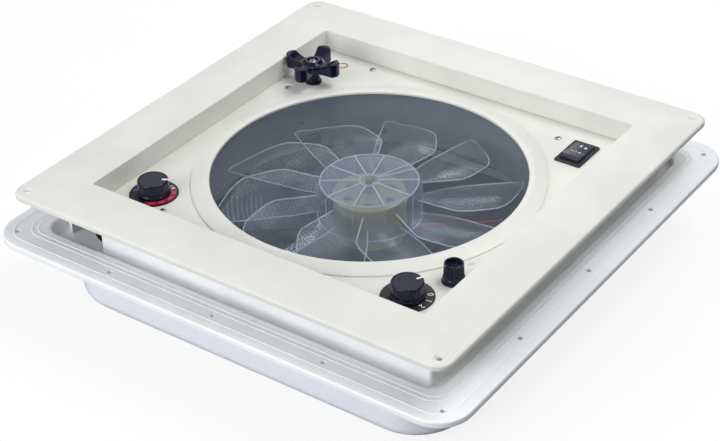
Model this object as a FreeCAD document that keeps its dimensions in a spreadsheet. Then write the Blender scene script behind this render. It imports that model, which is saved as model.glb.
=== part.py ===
# Powered roof vent for a caravan or motorhome, room side up, standing on its closed lid.
# Origin: centre of the lid's lowest face. +Z: out of the roof opening into the room.
# +X: along the hinge line. +Y: towards the lid hinge. Millimetres and degrees.
import FreeCAD, Part
import math
import os
import Sketcher

V = FreeCAD.Vector
DOC = FreeCAD.newDocument("RoofVent")
SHEET = DOC.addObject("Spreadsheet::Sheet", "Sizes")
X_AXIS, Z_AXIS = V(1, 0, 0), V(0, 0, 1)

# ---------------------------------------------------------------- driving sizes
DRIVING = {
    # overall
    "total_height": 106, "recess_depth": 20, "flange_drop": 37.5, "step_drop": 47,
    # roof flange and neck
    "flange_half": 222, "flange_corner": 28, "flange_plate": 3, "flange_edge": 5.5, "edge_lip": 2.5,
    "step_half": 190, "step_corner": 15, "step_wall": 2.5,
    "neck_half": 178.5, "neck_corner": 3, "neck_wall": 2.5, "ledge_width": 3.5, "ledge_depth": 2.5,
    "ridge_width": 0.9, "ridge_rise": 0.5, "ridge_one": 197, "ridge_two": 201.5, "ridge_three": 212.5,
    "flange_hole_corner": 205, "flange_hole_side": 207, "flange_hole_pitch": 103.5,
    "flange_hole_radius": 2.2, "notch_from": 137, "notch_side_from": 145,
    # outdoor coaming
    "coaming_half": 172, "coaming_corner": 30, "coaming_wall": 2.5, "coaming_bottom": 22,
    # ceiling garnish
    "garnish_half": 207, "garnish_corner": 13, "garnish_plate": 2.5, "garnish_edge": 5,
    "opening_half": 159.5, "opening_corner": 1.5, "garnish_hole": 196, "garnish_hole_radius": 2.2,
    "garnish_sink": 1.8, "garnish_round": 1.6,
    # control panel, screen and duct
    "panel_plate": 2.5, "duct_bore": 146, "duct_wall": 2.5, "duct_bottom": 30, "duct_flange": 156,
    "duct_foot": 152, "ring_outer": 148, "ring_bore": 132, "ring_rise": 3.8, "mesh_thick": 0.5,
    # lid
    "lid_half": 184, "lid_corner": 42, "lid_wall": 2.5, "lid_rim": 54.5, "lid_round": 10,
    "seat_outer": 177, "seat_inner": 166.5, "seat_top": 10, "seal_outer": 175.5, "seal_inner": 168,
    "lid_rib_half": 1.5, "lid_rib_pitch": 40, "lid_rib_top": 7, "lid_rib_length": 150,
    # lid hinge
    "hinge_y": 197.5, "hinge_z": 59, "hinge_x": 120, "knuckle_radius": 4, "pin_radius": 1.8,
    # lift mechanism
    "crank_x": -132.5, "crank_y": 102, "gear_distance": 17, "wheel_teeth": 24, "wheel_width": 4,
    "worm_outer": 6, "worm_root": 3.75, "worm_turns": 6, "thread_width": 1,
    "crank_shaft_radius": 2.5, "arm_shaft_radius": 4, "arm_rest_angle": 20, "arm_thick": 4,
    "arm_face_x": -158.3, "roller_radius": 4, "track_face_x": -159, "track_thick": 6.8,
    "gap": 0.3, "running_gap": 0.05,
    # crank knob
    "lobe_reach": 26.5, "lobe_half": 6.7, "lobe_waist": 5.2, "knob_thick": 12.5, "knob_top": 110.5,
    "stem_radius": 5.4, "boss_drop": 2, "screw_recess": 2, "knob_screw_length": 4,
    # fan and motor
    "hub_top": 79.5, "hub_radius": 44, "hub_wall": 1.8, "hub_depth": 34,
    "blade_count": 10, "blade_start": 30, "rib_start": 34.5,
    "motor_radius": 31, "motor_bottom": 30, "motor_top": 66, "motor_wall": 1.6,
    "motor_shaft_radius": 3, "bracket_thick": 3, "bracket_arm": 16, "bracket_turn": 40,
    # controls
    "heat_x": -130, "heat_y": -121, "heat_dial": 20.4, "speed_x": 122.5, "speed_y": -125.8,
    "speed_dial": 21, "dial_thick": 0.8, "control_bore": 4.2, "screw_bore": 1.6, "crank_bore": 6.1,
    "dial_knob": 12.75, "dial_knob_foot": 13.8,
    "dial_knob_drop": 6, "dial_shaft": 3,
    "fuse_x": 140.5, "fuse_y": -90, "fuse_flange": 9.5, "fuse_tube": 7, "fuse_cap": 7.8,
    "fuse_cap_drop": 3, "rocker_x": 128.5, "rocker_y": 120.5, "bezel_x": 24.5, "bezel_y": 36.5,
    "bezel_rise": 2.2, "bezel_corner": 1.5, "switch_depth": 20, "rocker_tilt": 6,
    "well_x": 9, "well_y": 15.1, "well_depth": 14, "rocker_pin": 1.2, "rocker_half": 8.7,
    "cutout_x": 10.6, "cutout_y": 16, "heat_pointer": 30, "speed_pointer": 57,
}

# ------------------------------------------------- sizes worked out in the sheet
DERIVED = {
    "panel_top": "=total_height - recess_depth",
    "panel_bottom": "=panel_top - panel_plate",
    "flange_top": "=total_height - flange_drop",
    "flange_bottom": "=flange_top - flange_plate",
    "step_top": "=total_height - step_drop",
    "step_bottom": "=step_top - step_wall",
    "flange_lip": "=flange_edge - flange_plate",
    "lip_bottom": "=flange_top - flange_edge",
    "lip_half": "=flange_half - edge_lip",
    "lip_corner": "=flange_corner - edge_lip",
    "step_outer": "=step_half + step_wall",
    "step_outer_corner": "=step_corner + step_wall",
    "step_height": "=flange_bottom - step_bottom",
    "neck_inner": "=neck_half - neck_wall",
    "neck_inner_corner": "=neck_corner - neck_wall",
    "garnish_under": "=total_height - garnish_plate",
    "neck_height": "=garnish_under - step_top",
    "ledge_inner": "=neck_inner - ledge_width",
    "ledge_bottom": "=panel_bottom - ledge_depth",
    "notch_top": "=garnish_under - 5",
    "notch_depth": "=notch_top - step_top",
    "coaming_inner": "=coaming_half - coaming_wall",
    "coaming_inner_corner": "=coaming_corner - coaming_wall",
    "coaming_height": "=step_bottom - coaming_bottom",
    "garnish_lip_half": "=garnish_half - garnish_plate",
    "garnish_lip_corner": "=garnish_corner - garnish_plate",
    "garnish_lip": "=garnish_edge - garnish_plate",
    "garnish_lip_bottom": "=total_height - garnish_edge",
    "collar_half": "=opening_half + garnish_plate",
    "collar_corner": "=opening_corner + garnish_plate",
    "collar_bottom": "=panel_top + gap",
    "collar_height": "=garnish_under - collar_bottom",
    "panel_half": "=neck_inner - gap",
    "duct_outer": "=duct_bore + duct_wall",
    "duct_top": "=panel_bottom",
    "screen_top": "=panel_top + ring_rise",
    "seat_height": "=seat_top - lid_wall",
    "seal_height": "=coaming_bottom - gap - seat_top",
    "rib_height": "=lid_rib_top - lid_wall",
    "wheel_y": "=crank_y + gear_distance",
    "arm_length": "=hinge_y - wheel_y",
    "knob_under": "=knob_top - knob_thick",
    "boss_top": "=knob_top - boss_drop",
    "screw_seat": "=boss_top - screw_recess",
    "crank_shaft_top": "=screw_seat - knob_screw_length",
    "stem_bottom": "=panel_top + 2",
    "stem_height": "=knob_under - stem_bottom",
    "hub_inner": "=hub_radius - hub_wall",
    "hub_bottom": "=hub_top - hub_depth",
    "motor_inner": "=motor_radius - motor_wall",
    "bracket_bottom": "=motor_bottom - bracket_thick",
    "dial_top": "=panel_top + dial_thick",
    "dial_knob_top": "=total_height - dial_knob_drop",
    "fuse_cap_top": "=total_height - fuse_cap_drop",
    "bezel_half_x": "=bezel_x / 2",
    "bezel_half_y": "=bezel_y / 2",
    "bezel_top": "=panel_top + bezel_rise",
    "neck_reach": "=neck_half + 1",
    "ridge_one_outer": "=ridge_one + ridge_width / 2",
    "ridge_one_inner": "=ridge_one - ridge_width / 2",
    "ridge_two_outer": "=ridge_two + ridge_width / 2",
    "ridge_two_inner": "=ridge_two - ridge_width / 2",
    "ridge_three_outer": "=ridge_three + ridge_width / 2",
    "ridge_three_inner": "=ridge_three - ridge_width / 2",
    "tooth_root": "=wheel_teeth / 2 - 1.3",
    "tooth_tip": "=wheel_teeth / 2 + 0.95",
    "shaft_hole": "=crank_shaft_radius + running_gap",
    "arm_shaft_hole": "=arm_shaft_radius + running_gap",
    "motor_shaft_hole": "=motor_shaft_radius + running_gap",
    "dial_shaft_hole": "=dial_shaft + running_gap",
    "hinge_bore": "=pin_radius + running_gap",
    "rocker_pin_hole": "=rocker_pin + running_gap",
    "blade_plane": "=hub_top - 15",
    "lid_seat_corner": "=coaming_corner + 5",
    "lid_seat_inner_corner": "=coaming_corner - 5",
    "seal_corner": "=coaming_corner + 3.5",
    "seal_inner_corner": "=coaming_corner - 4",
    "arm_shaft_length": "=crank_x + 11.5 - arm_face_x",
    "pillar_height": "=panel_bottom - hinge_z - 16.5",
    "magnet_bottom": "=motor_bottom + 8",
    "control_neck": "=dial_top - panel_bottom",
    "switch_bottom": "=panel_top - switch_depth",
    "blade_sweep": "=360 / blade_count",
}


def fill_sheet():
    rows = list(DRIVING.items()) + list(DERIVED.items())
    for row, (alias, content) in enumerate(rows, start=1):
        SHEET.set("A%d" % row, alias)
        SHEET.set("B%d" % row, str(content))
        SHEET.setAlias("B%d" % row, alias)
    DOC.recompute()


# ---------------------------------------------------------------- sheet helpers
def number(term):
    """The value of an alias, of an alias with a minus sign, or of a plain number."""
    if not isinstance(term, str):
        return float(term)
    sign = -1.0 if term.startswith("-") else 1.0
    return sign * float(SHEET.get(term.lstrip("-")))


def expression(term):
    return ("-Sizes." if term.startswith("-") else "Sizes.") + term.lstrip("-")


def bind(target, path, term):
    """Bind one property to the sheet; a plain number is set through a constant expression."""
    target.setExpression(path, expression(term) if isinstance(term, str) else repr(float(term)))


# --------------------------------------------------------------- sketch helpers
def new_body(label, x=0, y=0, z=0, rotation=None):
    """A body with its own label, placed at x, y, z, which may be aliases."""
    body = DOC.addObject("PartDesign::Body", label)
    body.Label = label
    body.AllowCompound = True
    base = V(number(x), number(y), number(z))
    body.Placement = FreeCAD.Placement(base, rotation or FreeCAD.Rotation())
    for axis, term in (("x", x), ("y", y), ("z", z)):
        if isinstance(term, str):
            bind(body, "Placement.Base." + axis, term)
    return body


def origin_item(body, role):
    return [item for item in body.Origin.OriginFeatures if item.Role == role][0]


def new_sketch(body, plane="XY_Plane", offset=0):
    sketch = body.newObject("Sketcher::SketchObject", "Sketch")
    sketch.AttachmentSupport = [(origin_item(body, plane), "")]
    sketch.MapMode = "FlatFace"
    bind(sketch, "AttachmentOffset.Base.z", offset)
    return sketch


def constrain(sketch, kind, *references, value):
    index = sketch.addConstraint(Sketcher.Constraint(kind, *references, number(value)))
    if isinstance(value, str):
        sketch.setExpression("Constraints[%d]" % index, expression(value))


def fix_point(sketch, curve, point, x, y):
    constrain(sketch, "DistanceX", -1, 1, curve, point, value=x)
    constrain(sketch, "DistanceY", -1, 1, curve, point, value=y)


def add_circle(sketch, radius, x=0, y=0):
    centre = V(number(x), number(y), 0)
    curve = sketch.addGeometry(Part.Circle(centre, Z_AXIS, number(radius)))
    fix_point(sketch, curve, 3, x, y)
    constrain(sketch, "Radius", curve, value=radius)


def add_polygon(sketch, points):
    """A closed outline of straight runs through points given as aliases or numbers."""
    corners = [V(number(x), number(y), 0) for x, y in points]
    first = sketch.GeometryCount
    for start, end in zip(corners, corners[1:] + corners[:1]):
        sketch.addGeometry(Part.LineSegment(start, end))
    count = len(points)
    for index, (x, y) in enumerate(points):
        following = first + (index + 1) % count
        sketch.addConstraint(Sketcher.Constraint("Coincident", first + index, 2, following, 1))
        fix_point(sketch, first + index, 1, x, y)


def add_rectangle(sketch, x_low, x_high, y_low, y_high):
    add_polygon(sketch, [(x_low, y_low), (x_high, y_low), (x_high, y_high), (x_low, y_high)])


def add_rounded_square(sketch, half, corner):
    """A square about the origin with four equal tangent corner arcs."""
    size, radius = number(half), number(corner)
    inner = size - radius
    first = sketch.GeometryCount
    for quarter in range(4):
        angle = quarter * math.pi / 2
        turn = FreeCAD.Rotation(Z_AXIS, math.degrees(angle))
        start, end = turn.multVec(V(-inner, -size, 0)), turn.multVec(V(inner, -size, 0))
        centre = turn.multVec(V(inner, -inner, 0))
        sketch.addGeometry(Part.LineSegment(start, end))
        circle = Part.Circle(centre, Z_AXIS, radius)
        sketch.addGeometry(Part.ArcOfCircle(circle, angle - math.pi / 2, angle))
    for quarter in range(4):
        line, arc = first + 2 * quarter, first + 2 * quarter + 1
        following = first + (2 * quarter + 2) % 8
        sketch.addConstraint(Sketcher.Constraint("Tangent", line, 2, arc, 1))
        sketch.addConstraint(Sketcher.Constraint("Tangent", arc, 2, following, 1))
        direction = "Horizontal" if quarter % 2 == 0 else "Vertical"
        sketch.addConstraint(Sketcher.Constraint(direction, line))
        if quarter:
            sketch.addConstraint(Sketcher.Constraint("Equal", first + 1, arc))
    constrain(sketch, "Radius", first + 1, value=corner)
    constrain(sketch, "DistanceY", -1, 1, first, 1, value="-" + half)
    constrain(sketch, "DistanceX", -1, 1, first + 2, 1, value=half)
    constrain(sketch, "DistanceY", -1, 1, first + 4, 1, value=half)
    constrain(sketch, "DistanceX", -1, 1, first + 6, 1, value="-" + half)


# -------------------------------------------------------------- feature helpers
def pad(body, sketch, length):
    feature = body.newObject("PartDesign::Pad", "Pad")
    feature.Profile = sketch
    bind(feature, "Length", length)
    sketch.Visibility = False
    return feature


def cut(body, sketch, length, both_ways=False):
    """A pocket below its sketch, checked to have removed material."""
    DOC.recompute()
    before = body.Shape.Volume
    feature = body.newObject("PartDesign::Pocket", "Pocket")
    feature.Profile = sketch
    bind(feature, "Length", length)
    feature.Midplane = both_ways
    sketch.Visibility = False
    DOC.recompute()
    if body.Shape.Volume > before - 0.01:
        raise RuntimeError("a pocket in %s removes nothing" % body.Label)
    return feature


def revolve(body, points):
    """A solid of revolution about the body's Z axis from an outline of (radius, height)."""
    sketch = new_sketch(body, "XZ_Plane")
    add_polygon(sketch, points)
    feature = body.newObject("PartDesign::Revolution", "Revolution")
    feature.Profile = sketch
    feature.ReferenceAxis = (sketch, ["V_Axis"])
    feature.Angle = 360
    sketch.Visibility = False
    return feature


def groove(body, points):
    """Turns an outline of (radius, height) about the body's Z axis and takes it away."""
    sketch = new_sketch(body, "XZ_Plane")
    add_polygon(sketch, points)
    feature = body.newObject("PartDesign::Groove", "Groove")
    feature.Profile = sketch
    feature.ReferenceAxis = (sketch, ["V_Axis"])
    feature.Angle = 360
    sketch.Visibility = False
    DOC.recompute()
    return feature


def polar(body, feature, count):
    pattern = body.newObject("PartDesign::PolarPattern", "PolarPattern")
    pattern.Originals = [feature]
    pattern.Axis = (origin_item(body, "Z_Axis"), [""])
    pattern.Angle = 360
    pattern.Occurrences = int(number(count))
    body.Tip = pattern
    return pattern


def dress(body, kind, size, wanted):
    """A fillet or chamfer on the edges of the body's tip that the test picks."""
    DOC.recompute()
    base = body.Tip
    names = ["Edge%d" % (index + 1) for index, edge in enumerate(base.Shape.Edges) if wanted(edge)]
    if not names:
        raise RuntimeError("no edge to dress on %s" % body.Label)
    feature = body.newObject("PartDesign::" + kind, kind)
    feature.Base = (base, names)
    bind(feature, "Radius" if kind == "Fillet" else "Size", size)
    return feature


def hollow(body, open_height, wall):
    """Hollows the body inwards to a constant wall, open at its face at this height."""
    DOC.recompute()
    base, height = body.Tip, number(open_height)
    faces = ["Face%d" % (index + 1) for index, face in enumerate(base.Shape.Faces)
             if abs(face.BoundBox.ZMin - height) < 0.01]
    feature = body.newObject("PartDesign::Thickness", "Thickness")
    feature.Base = (base, faces)
    feature.Reversed = True
    bind(feature, "Value", wall)
    return feature


def flat_at(edge, height):
    """True for an edge that lies wholly at one height."""
    box = edge.BoundBox
    return abs(box.ZMin - height) < 0.01 and abs(box.ZMax - height) < 0.01


def upright(edge):
    box = edge.BoundBox
    return box.ZLength > 0.5 and box.XLength < 0.01 and box.YLength < 0.01


def square_ring(body, bottom, height, outer, outer_corner, inner, inner_corner):
    sketch = new_sketch(body, offset=bottom)
    add_rounded_square(sketch, outer, outer_corner)
    add_rounded_square(sketch, inner, inner_corner)
    return pad(body, sketch, height)


def disc(body, bottom, height, radius, points=((0, 0),)):
    sketch = new_sketch(body, offset=bottom)
    for x, y in points:
        add_circle(sketch, radius, x, y)
    return pad(body, sketch, height)


def block(body, bottom, height, x_low, x_high, y_low, y_high):
    sketch = new_sketch(body, offset=bottom)
    add_rectangle(sketch, x_low, x_high, y_low, y_high)
    return pad(body, sketch, height)


def bore(body, top, depth, radius, points=((0, 0),)):
    sketch = new_sketch(body, offset=top)
    for x, y in points:
        add_circle(sketch, radius, x, y)
    return cut(body, sketch, depth)


def screws(label, points, head_bottom, head_height, head_radius, shank_bottom, shank_height,
           shank_radius):
    """A group of upright pan-head screws that share one node."""
    body = new_body(label)
    disc(body, shank_bottom, shank_height, shank_radius, points)
    disc(body, head_bottom, head_height, head_radius, points)
    return body


def signed_pairs(first, second):
    """The four points (+-first, +-second), as aliases."""
    return [(a + first, b + second) for a in ("", "-") for b in ("", "-")]


# ------------------------------------------------------------------ base frame
PANEL_SCREWS = [(-107, -137), (-145, 80), (-100, 149), (102, 135)]


def flange_holes():
    """Four corner holes, one at the middle of each side, and one each side of it."""
    points = signed_pairs("flange_hole_corner", "flange_hole_corner")
    for side in ("flange_hole_side", "-flange_hole_side"):
        for along in (0, "flange_hole_pitch", "-flange_hole_pitch"):
            points += [(side, along), (along, side)]
    return points


def make_roof_flange():
    body = new_body("roof_flange")
    square_ring(body, "flange_bottom", "flange_plate", "flange_half", "flange_corner",
                "step_half", "step_corner")
    square_ring(body, "lip_bottom", "flange_lip", "flange_half", "flange_corner",
                "lip_half", "lip_corner")
    square_ring(body, "step_bottom", "step_height", "step_outer", "step_outer_corner",
                "step_half", "step_corner")
    square_ring(body, "step_bottom", "step_wall", "step_outer", "step_outer_corner",
                "coaming_inner", "coaming_inner_corner")
    square_ring(body, "step_top", "neck_height", "neck_half", "neck_corner",
                "neck_inner", "neck_inner_corner")
    square_ring(body, "ledge_bottom", "ledge_depth", "neck_half", "neck_corner",
                "ledge_inner", "neck_corner")
    dress(body, "Fillet", 1.2, lambda edge: outer_top_edge(edge, "flange_top", "flange_half"))
    bore(body, "flange_top", "flange_plate", "flange_hole_radius", flange_holes())
    for ridge, corner in (("ridge_one", 14), ("ridge_two", 17), ("ridge_three", 22)):
        seal_ridge(body, ridge, corner)
    cut_notches(body)
    return body


def outer_top_edge(edge, height, half):
    """True for an edge at this height that touches the outline of this half size."""
    box = edge.BoundBox
    far = max(abs(box.XMin), abs(box.XMax), abs(box.YMin), abs(box.YMax))
    return flat_at(edge, number(height)) and abs(far - number(half)) < 0.05


def seal_ridge(body, half, corner):
    """One thin raised line round the roof side of the flange."""
    outer, inner = half + "_outer", half + "_inner"
    square_ring(body, "flange_top", "ridge_rise", outer, float(corner) + number("ridge_width"),
                inner, float(corner))


def cut_notches(body):
    """Wiring gaps in the neck: one near the front left corner, one near the back right."""
    sketch = new_sketch(body, offset="notch_top")
    add_rectangle(sketch, "-neck_reach", "-notch_from", "-neck_reach", "-ledge_inner")
    add_rectangle(sketch, "ledge_inner", "neck_reach", "notch_side_from", "neck_reach")
    cut(body, sketch, "notch_depth")


def make_weather_coaming():
    body = new_body("weather_coaming")
    square_ring(body, "coaming_bottom", "coaming_height", "coaming_half", "coaming_corner",
                "coaming_inner", "coaming_inner_corner")
    return body


def make_garnish():
    body = new_body("garnish_frame")
    square_ring(body, "garnish_under", "garnish_plate", "garnish_half", "garnish_corner",
                "opening_half", "opening_corner")
    square_ring(body, "garnish_lip_bottom", "garnish_lip", "garnish_half", "garnish_corner",
                "garnish_lip_half", "garnish_lip_corner")
    square_ring(body, "collar_bottom", "collar_height", "collar_half", "collar_corner",
                "opening_half", "opening_corner")
    dress(body, "Fillet", "garnish_round",
          lambda edge: outer_top_edge(edge, "total_height", "garnish_half"))
    bore(body, "total_height", "garnish_plate", "garnish_hole_radius",
         signed_pairs("garnish_hole", "garnish_hole"))
    radius = number("garnish_hole_radius")
    dress(body, "Chamfer", "garnish_sink", lambda edge: flat_at(edge, number("total_height"))
          and abs(edge.BoundBox.XLength - 2 * radius) < 0.01)
    return body


def make_control_panel():
    body = new_body("control_panel")
    sketch = new_sketch(body, offset="panel_bottom")
    add_rounded_square(sketch, "panel_half", "opening_corner")
    pad(body, sketch, "panel_plate")
    bore(body, "panel_top", "panel_plate", "duct_bore")
    bore(body, "panel_top", "panel_plate", "crank_bore", [("crank_x", "crank_y")])
    bore(body, "panel_top", "panel_plate", "control_bore", [("heat_x", "heat_y"), ("speed_x", "speed_y")])
    bore(body, "panel_top", "panel_plate", "fuse_tube", [("fuse_x", "fuse_y")])
    bore(body, "panel_top", "panel_plate", "screw_bore", PANEL_SCREWS)
    sketch = new_sketch(body, offset="panel_top")
    x, y = number("rocker_x"), number("rocker_y")
    half_x, half_y = number("cutout_x"), number("cutout_y")
    add_rectangle(sketch, x - half_x, x + half_x, y - half_y, y + half_y)
    cut(body, sketch, "panel_plate")
    return body


def make_panel_screws():
    top = number("panel_top")
    return screws("panel_screws", PANEL_SCREWS, "panel_top", 1.2, 2.8, top - 8, 8, 1.55)


def make_screen_ring():
    """The sloping bezel that holds the insect screen down on the panel."""
    base, top = number("panel_top"), number("screen_top")
    outline = [("ring_outer", base), ("ring_outer", base + 1), (number("ring_outer") - 1.5, base + 1.8),
               (number("ring_bore") + 4, top), ("ring_bore", top), ("ring_bore", base + 1.6),
               (number("ring_bore") + 2.6, base + 1.6), (number("ring_bore") + 2.6, base)]
    body = new_body("screen_ring")
    revolve(body, outline)
    return body


def make_screen_mesh():
    body = new_body("screen_mesh")
    disc(body, number("panel_top") + 1, "mesh_thick", number("ring_bore") + 2.3)
    return body


def make_fan_duct():
    """The round air duct, with a flange under the panel and a foot for the motor bracket."""
    top, bottom = number("duct_top"), number("duct_bottom")
    body = new_body("fan_duct")
    revolve(body, [("duct_bore", bottom), ("duct_foot", bottom), ("duct_foot", bottom + 2),
                   ("duct_outer", bottom + 2), ("duct_outer", top - 2), ("duct_flange", top - 2),
                   ("duct_flange", top), ("duct_bore", top)])
    sketch = new_sketch(body, offset=bottom + 8)
    turn = FreeCAD.Rotation(Z_AXIS, number("bracket_turn"))
    corners = [turn.multVec(V(x, y, 0)) for x, y in ((140, -6), (158, -6), (158, 6), (140, 6))]
    add_polygon(sketch, [(corner.x, corner.y) for corner in corners])
    cut(body, sketch, 8)
    return body


# ------------------------------------------------------------------------- lid
def make_lid_shell():
    body = new_body("lid_shell")
    sketch = new_sketch(body)
    add_rounded_square(sketch, "lid_half", "lid_corner")
    pad(body, sketch, "lid_rim")
    dress(body, "Fillet", "lid_round", lambda edge: flat_at(edge, 0))
    hollow(body, "lid_rim", "lid_wall")
    square_ring(body, "lid_wall", "seat_height", "seat_outer", "lid_seat_corner",
                "seat_inner", "lid_seat_inner_corner")
    half, pitch = number("lid_rib_half"), number("lid_rib_pitch")
    for step in range(-3, 4):
        middle = step * pitch
        block(body, "lid_wall", "rib_height", middle - half, middle + half,
              "-lid_rib_length", "lid_rib_length")
    return body


def make_lid_seal():
    body = new_body("lid_seal")
    square_ring(body, "seat_top", "seal_height", "seal_outer", "seal_corner",
                "seal_inner", "seal_inner_corner")
    return body


def hinge_leaves(side, label_side):
    """The fixed leaf, the moving leaf and the pin of one lid hinge, on one side of centre."""
    y, z, knuckle = number("hinge_y"), number("hinge_z"), number("knuckle_radius")
    middle = side * number("hinge_x")
    plate_top = number("flange_bottom")
    fixed = new_body("base_hinge_leaf_" + label_side, middle)
    barrel(fixed, y, z, -15, 14.7, "knuckle_radius")
    yz_block(fixed, -15, 14.7, y - 1.5, y + 1.5, z, plate_top)
    yz_block(fixed, -15, 14.7, y - 3.5, y + 16, plate_top - 2, plate_top)
    pin_bore(fixed, y, z)
    moving = new_body("lid_hinge_leaf_" + label_side, middle)
    barrel(moving, y, z, 0, 15, "knuckle_radius")
    link_bottom = z - 9
    yz_block(moving, 0, 15, y - knuckle, y - 1, link_bottom, z)
    yz_block(moving, 0, 15, number("lid_half"), y - 1, link_bottom, link_bottom + 3)
    yz_block(moving, 0, 15, number("lid_half"), number("lid_half") + 2.5, z - 27, link_bottom + 3)
    pin_bore(moving, y, z)
    pin = new_body("hinge_pin_" + label_side, middle)
    barrel(pin, y, z, -15.5, 31, "pin_radius")
    return fixed, moving, pin


def barrel(body, y, z, start, length, radius):
    """A round bar along X, centred at y, z."""
    sketch = new_sketch(body, "YZ_Plane", start)
    add_circle(sketch, radius, y, z)
    return pad(body, sketch, length)


def yz_block(body, start, length, y_low, y_high, z_low, z_high):
    sketch = new_sketch(body, "YZ_Plane", start)
    add_rectangle(sketch, y_low, y_high, z_low, z_high)
    return pad(body, sketch, length)


def pin_bore(body, y, z):
    sketch = new_sketch(body, "YZ_Plane", 0)
    add_circle(sketch, "hinge_bore", y, z)
    return cut(body, sketch, 40, both_ways=True)


def track_point(distance, offset):
    """A point on the lid track's line through the hinge, and offset across it, as (y, z)."""
    slope = math.radians(number("arm_rest_angle") / 2)
    along, across = V(-math.cos(slope), -math.sin(slope), 0), V(-math.sin(slope), math.cos(slope), 0)
    point = V(number("hinge_y"), number("hinge_z"), 0) + along * distance + across * offset
    return point.x, point.y


def make_lid_track():
    """The upright bracket on the lid with the sloping groove that the arm's roller runs in."""
    near, far = number("arm_length") - 8, 2 * number("arm_length") + 6
    face, thick = number("track_face_x"), number("track_thick")
    floor = number("lid_wall")
    top_near, top_far = track_point(near, 7.5), track_point(far, 7.5)
    body = new_body("lid_track")
    sketch = new_sketch(body, "YZ_Plane", face - thick)
    add_polygon(sketch, [(top_far[0], floor), (top_near[0], floor), top_near, top_far])
    pad(body, sketch, thick)
    groove = number("roller_radius") + number("gap")
    corners = [track_point(near + 3, -groove), track_point(near + 3, groove),
               track_point(far - 0.5, groove), track_point(far - 0.5, -groove)]
    sketch = new_sketch(body, "YZ_Plane", face)
    add_polygon(sketch, corners)
    cut(body, sketch, 5.2)
    block(body, floor, 2.5, face - thick, face + 9, top_far[0], top_near[0])
    bore(body, floor + 2.5, 2.5, 1.6, track_screw_points())
    return body


def track_screw_points():
    return [(number("track_face_x") + 4.5, y) for y in (50, 82, 114)]


def make_track_screws():
    floor = number("lid_wall")
    return screws("lid_track_screws", track_screw_points(), floor + 2.5, 1.8, 3, floor, 2.5, 1.5)


# -------------------------------------------------------------- lift mechanism
def make_lift_arm():
    """A flat link from the gearbox shaft to the roller, along its own X before it is placed."""
    body = new_body("lift_arm", "arm_face_x", "wheel_y", "hinge_z", arm_turn())
    disc(body, 0, "arm_thick", 8)
    disc(body, 0, "arm_thick", 6, [("arm_length", 0)])
    block(body, 0, "arm_thick", 0, "arm_length", -5, 5)
    bore(body, "arm_thick", "arm_thick", "arm_shaft_radius")
    bore(body, "arm_thick", "arm_thick", 2, [("arm_length", 0)])
    return body


def arm_turn():
    """Turns own X to the arm's rest direction, down and forward, and own Z to world +X."""
    lean = FreeCAD.Rotation(X_AXIS, number("arm_rest_angle"))
    along = lean.multVec(V(0, -1, 0))
    return FreeCAD.Rotation(along, X_AXIS.cross(along), X_AXIS, "ZXY")


def make_arm_roller():
    body = new_body("arm_roller", "arm_face_x", "wheel_y", "hinge_z", arm_turn())
    disc(body, -5, 4.7, "roller_radius", [("arm_length", 0)])
    bore(body, 0, 6, 2, [("arm_length", 0)])
    return body


def make_roller_pin():
    body = new_body("roller_pin", "arm_face_x", "wheel_y", "hinge_z", arm_turn())
    disc(body, -5, 10, 2, [("arm_length", 0)])
    disc(body, "arm_thick", 1.2, 3.2, [("arm_length", 0)])
    return body


def make_arm_shaft():
    """From the arm's outer face to the gearbox's far wall."""
    body = new_body("arm_shaft", "arm_face_x", "wheel_y", "hinge_z", arm_turn())
    disc(body, 0, "arm_shaft_length", "arm_shaft_radius")
    return body


def make_worm_wheel():
    """A brass wheel with straight teeth; a tooth gap faces the worm at rest."""
    half = number("wheel_width") / 2
    lean = FreeCAD.Rotation(V(0, -1, 0), V(0, 0, -1), X_AXIS, "ZXY")
    body = new_body("worm_wheel", "crank_x", "wheel_y", "hinge_z", lean)
    disc(body, -half, "wheel_width", "tooth_root")
    disc(body, -half - 2, number("wheel_width") + 4, 6.5)
    sketch = new_sketch(body, offset=-half)
    root, tip = number("tooth_root") - 0.4, number("tooth_tip")
    turn = FreeCAD.Rotation(Z_AXIS, 180 / number("wheel_teeth"))
    profile = [(root, -1.05), (root + 0.4, -1.0), (tip, -0.38), (tip, 0.38), (root + 0.4, 1.0), (root, 1.05)]
    corners = [turn.multVec(V(x, y, 0)) for x, y in profile]
    add_polygon(sketch, [(corner.x, corner.y) for corner in corners])
    polar(body, pad(body, sketch, "wheel_width"), "wheel_teeth")
    bore(body, half + 2, number("wheel_width") + 4, "arm_shaft_radius")
    return body


def make_worm():
    """A right-hand single-start thread on a sleeve; it faces the wheel's gap at rest."""
    pitch = math.pi
    root, outer = number("worm_root"), number("worm_outer")
    turns, width = number("worm_turns"), number("thread_width")
    start = -pitch * turns / 2 - pitch / 4
    helix = Part.makeHelix(pitch, pitch * turns, root)
    section = Part.makePolygon([V(root - 0.4, 0, -0.95 * width), V(outer, 0, -0.28 * width),
                                V(outer, 0, 0.28 * width), V(root - 0.4, 0, 0.95 * width),
                                V(root - 0.4, 0, -0.95 * width)])
    thread = Part.Wire(helix.Edges).makePipeShell([section], True, True)
    thread.translate(V(0, 0, start))
    sleeve = Part.makeCylinder(root, pitch * (turns + 1.6), V(0, 0, start - 0.8 * pitch))
    sleeve = sleeve.fuse(thread).cut(Part.makeCylinder(number("crank_shaft_radius"), 60, V(0, 0, -30)))
    worm = DOC.addObject("Part::Feature", "worm")
    worm.Shape = sleeve
    worm.Placement = FreeCAD.Placement(V(number("crank_x"), number("crank_y"), number("hinge_z")),
                                       FreeCAD.Rotation())
    return worm


GEARBOX = {"x_low": -12.5, "x_high": 11.5, "y_low": -9, "y_high": 32.5, "z_low": -16.5, "z_high": 16.5}


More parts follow.
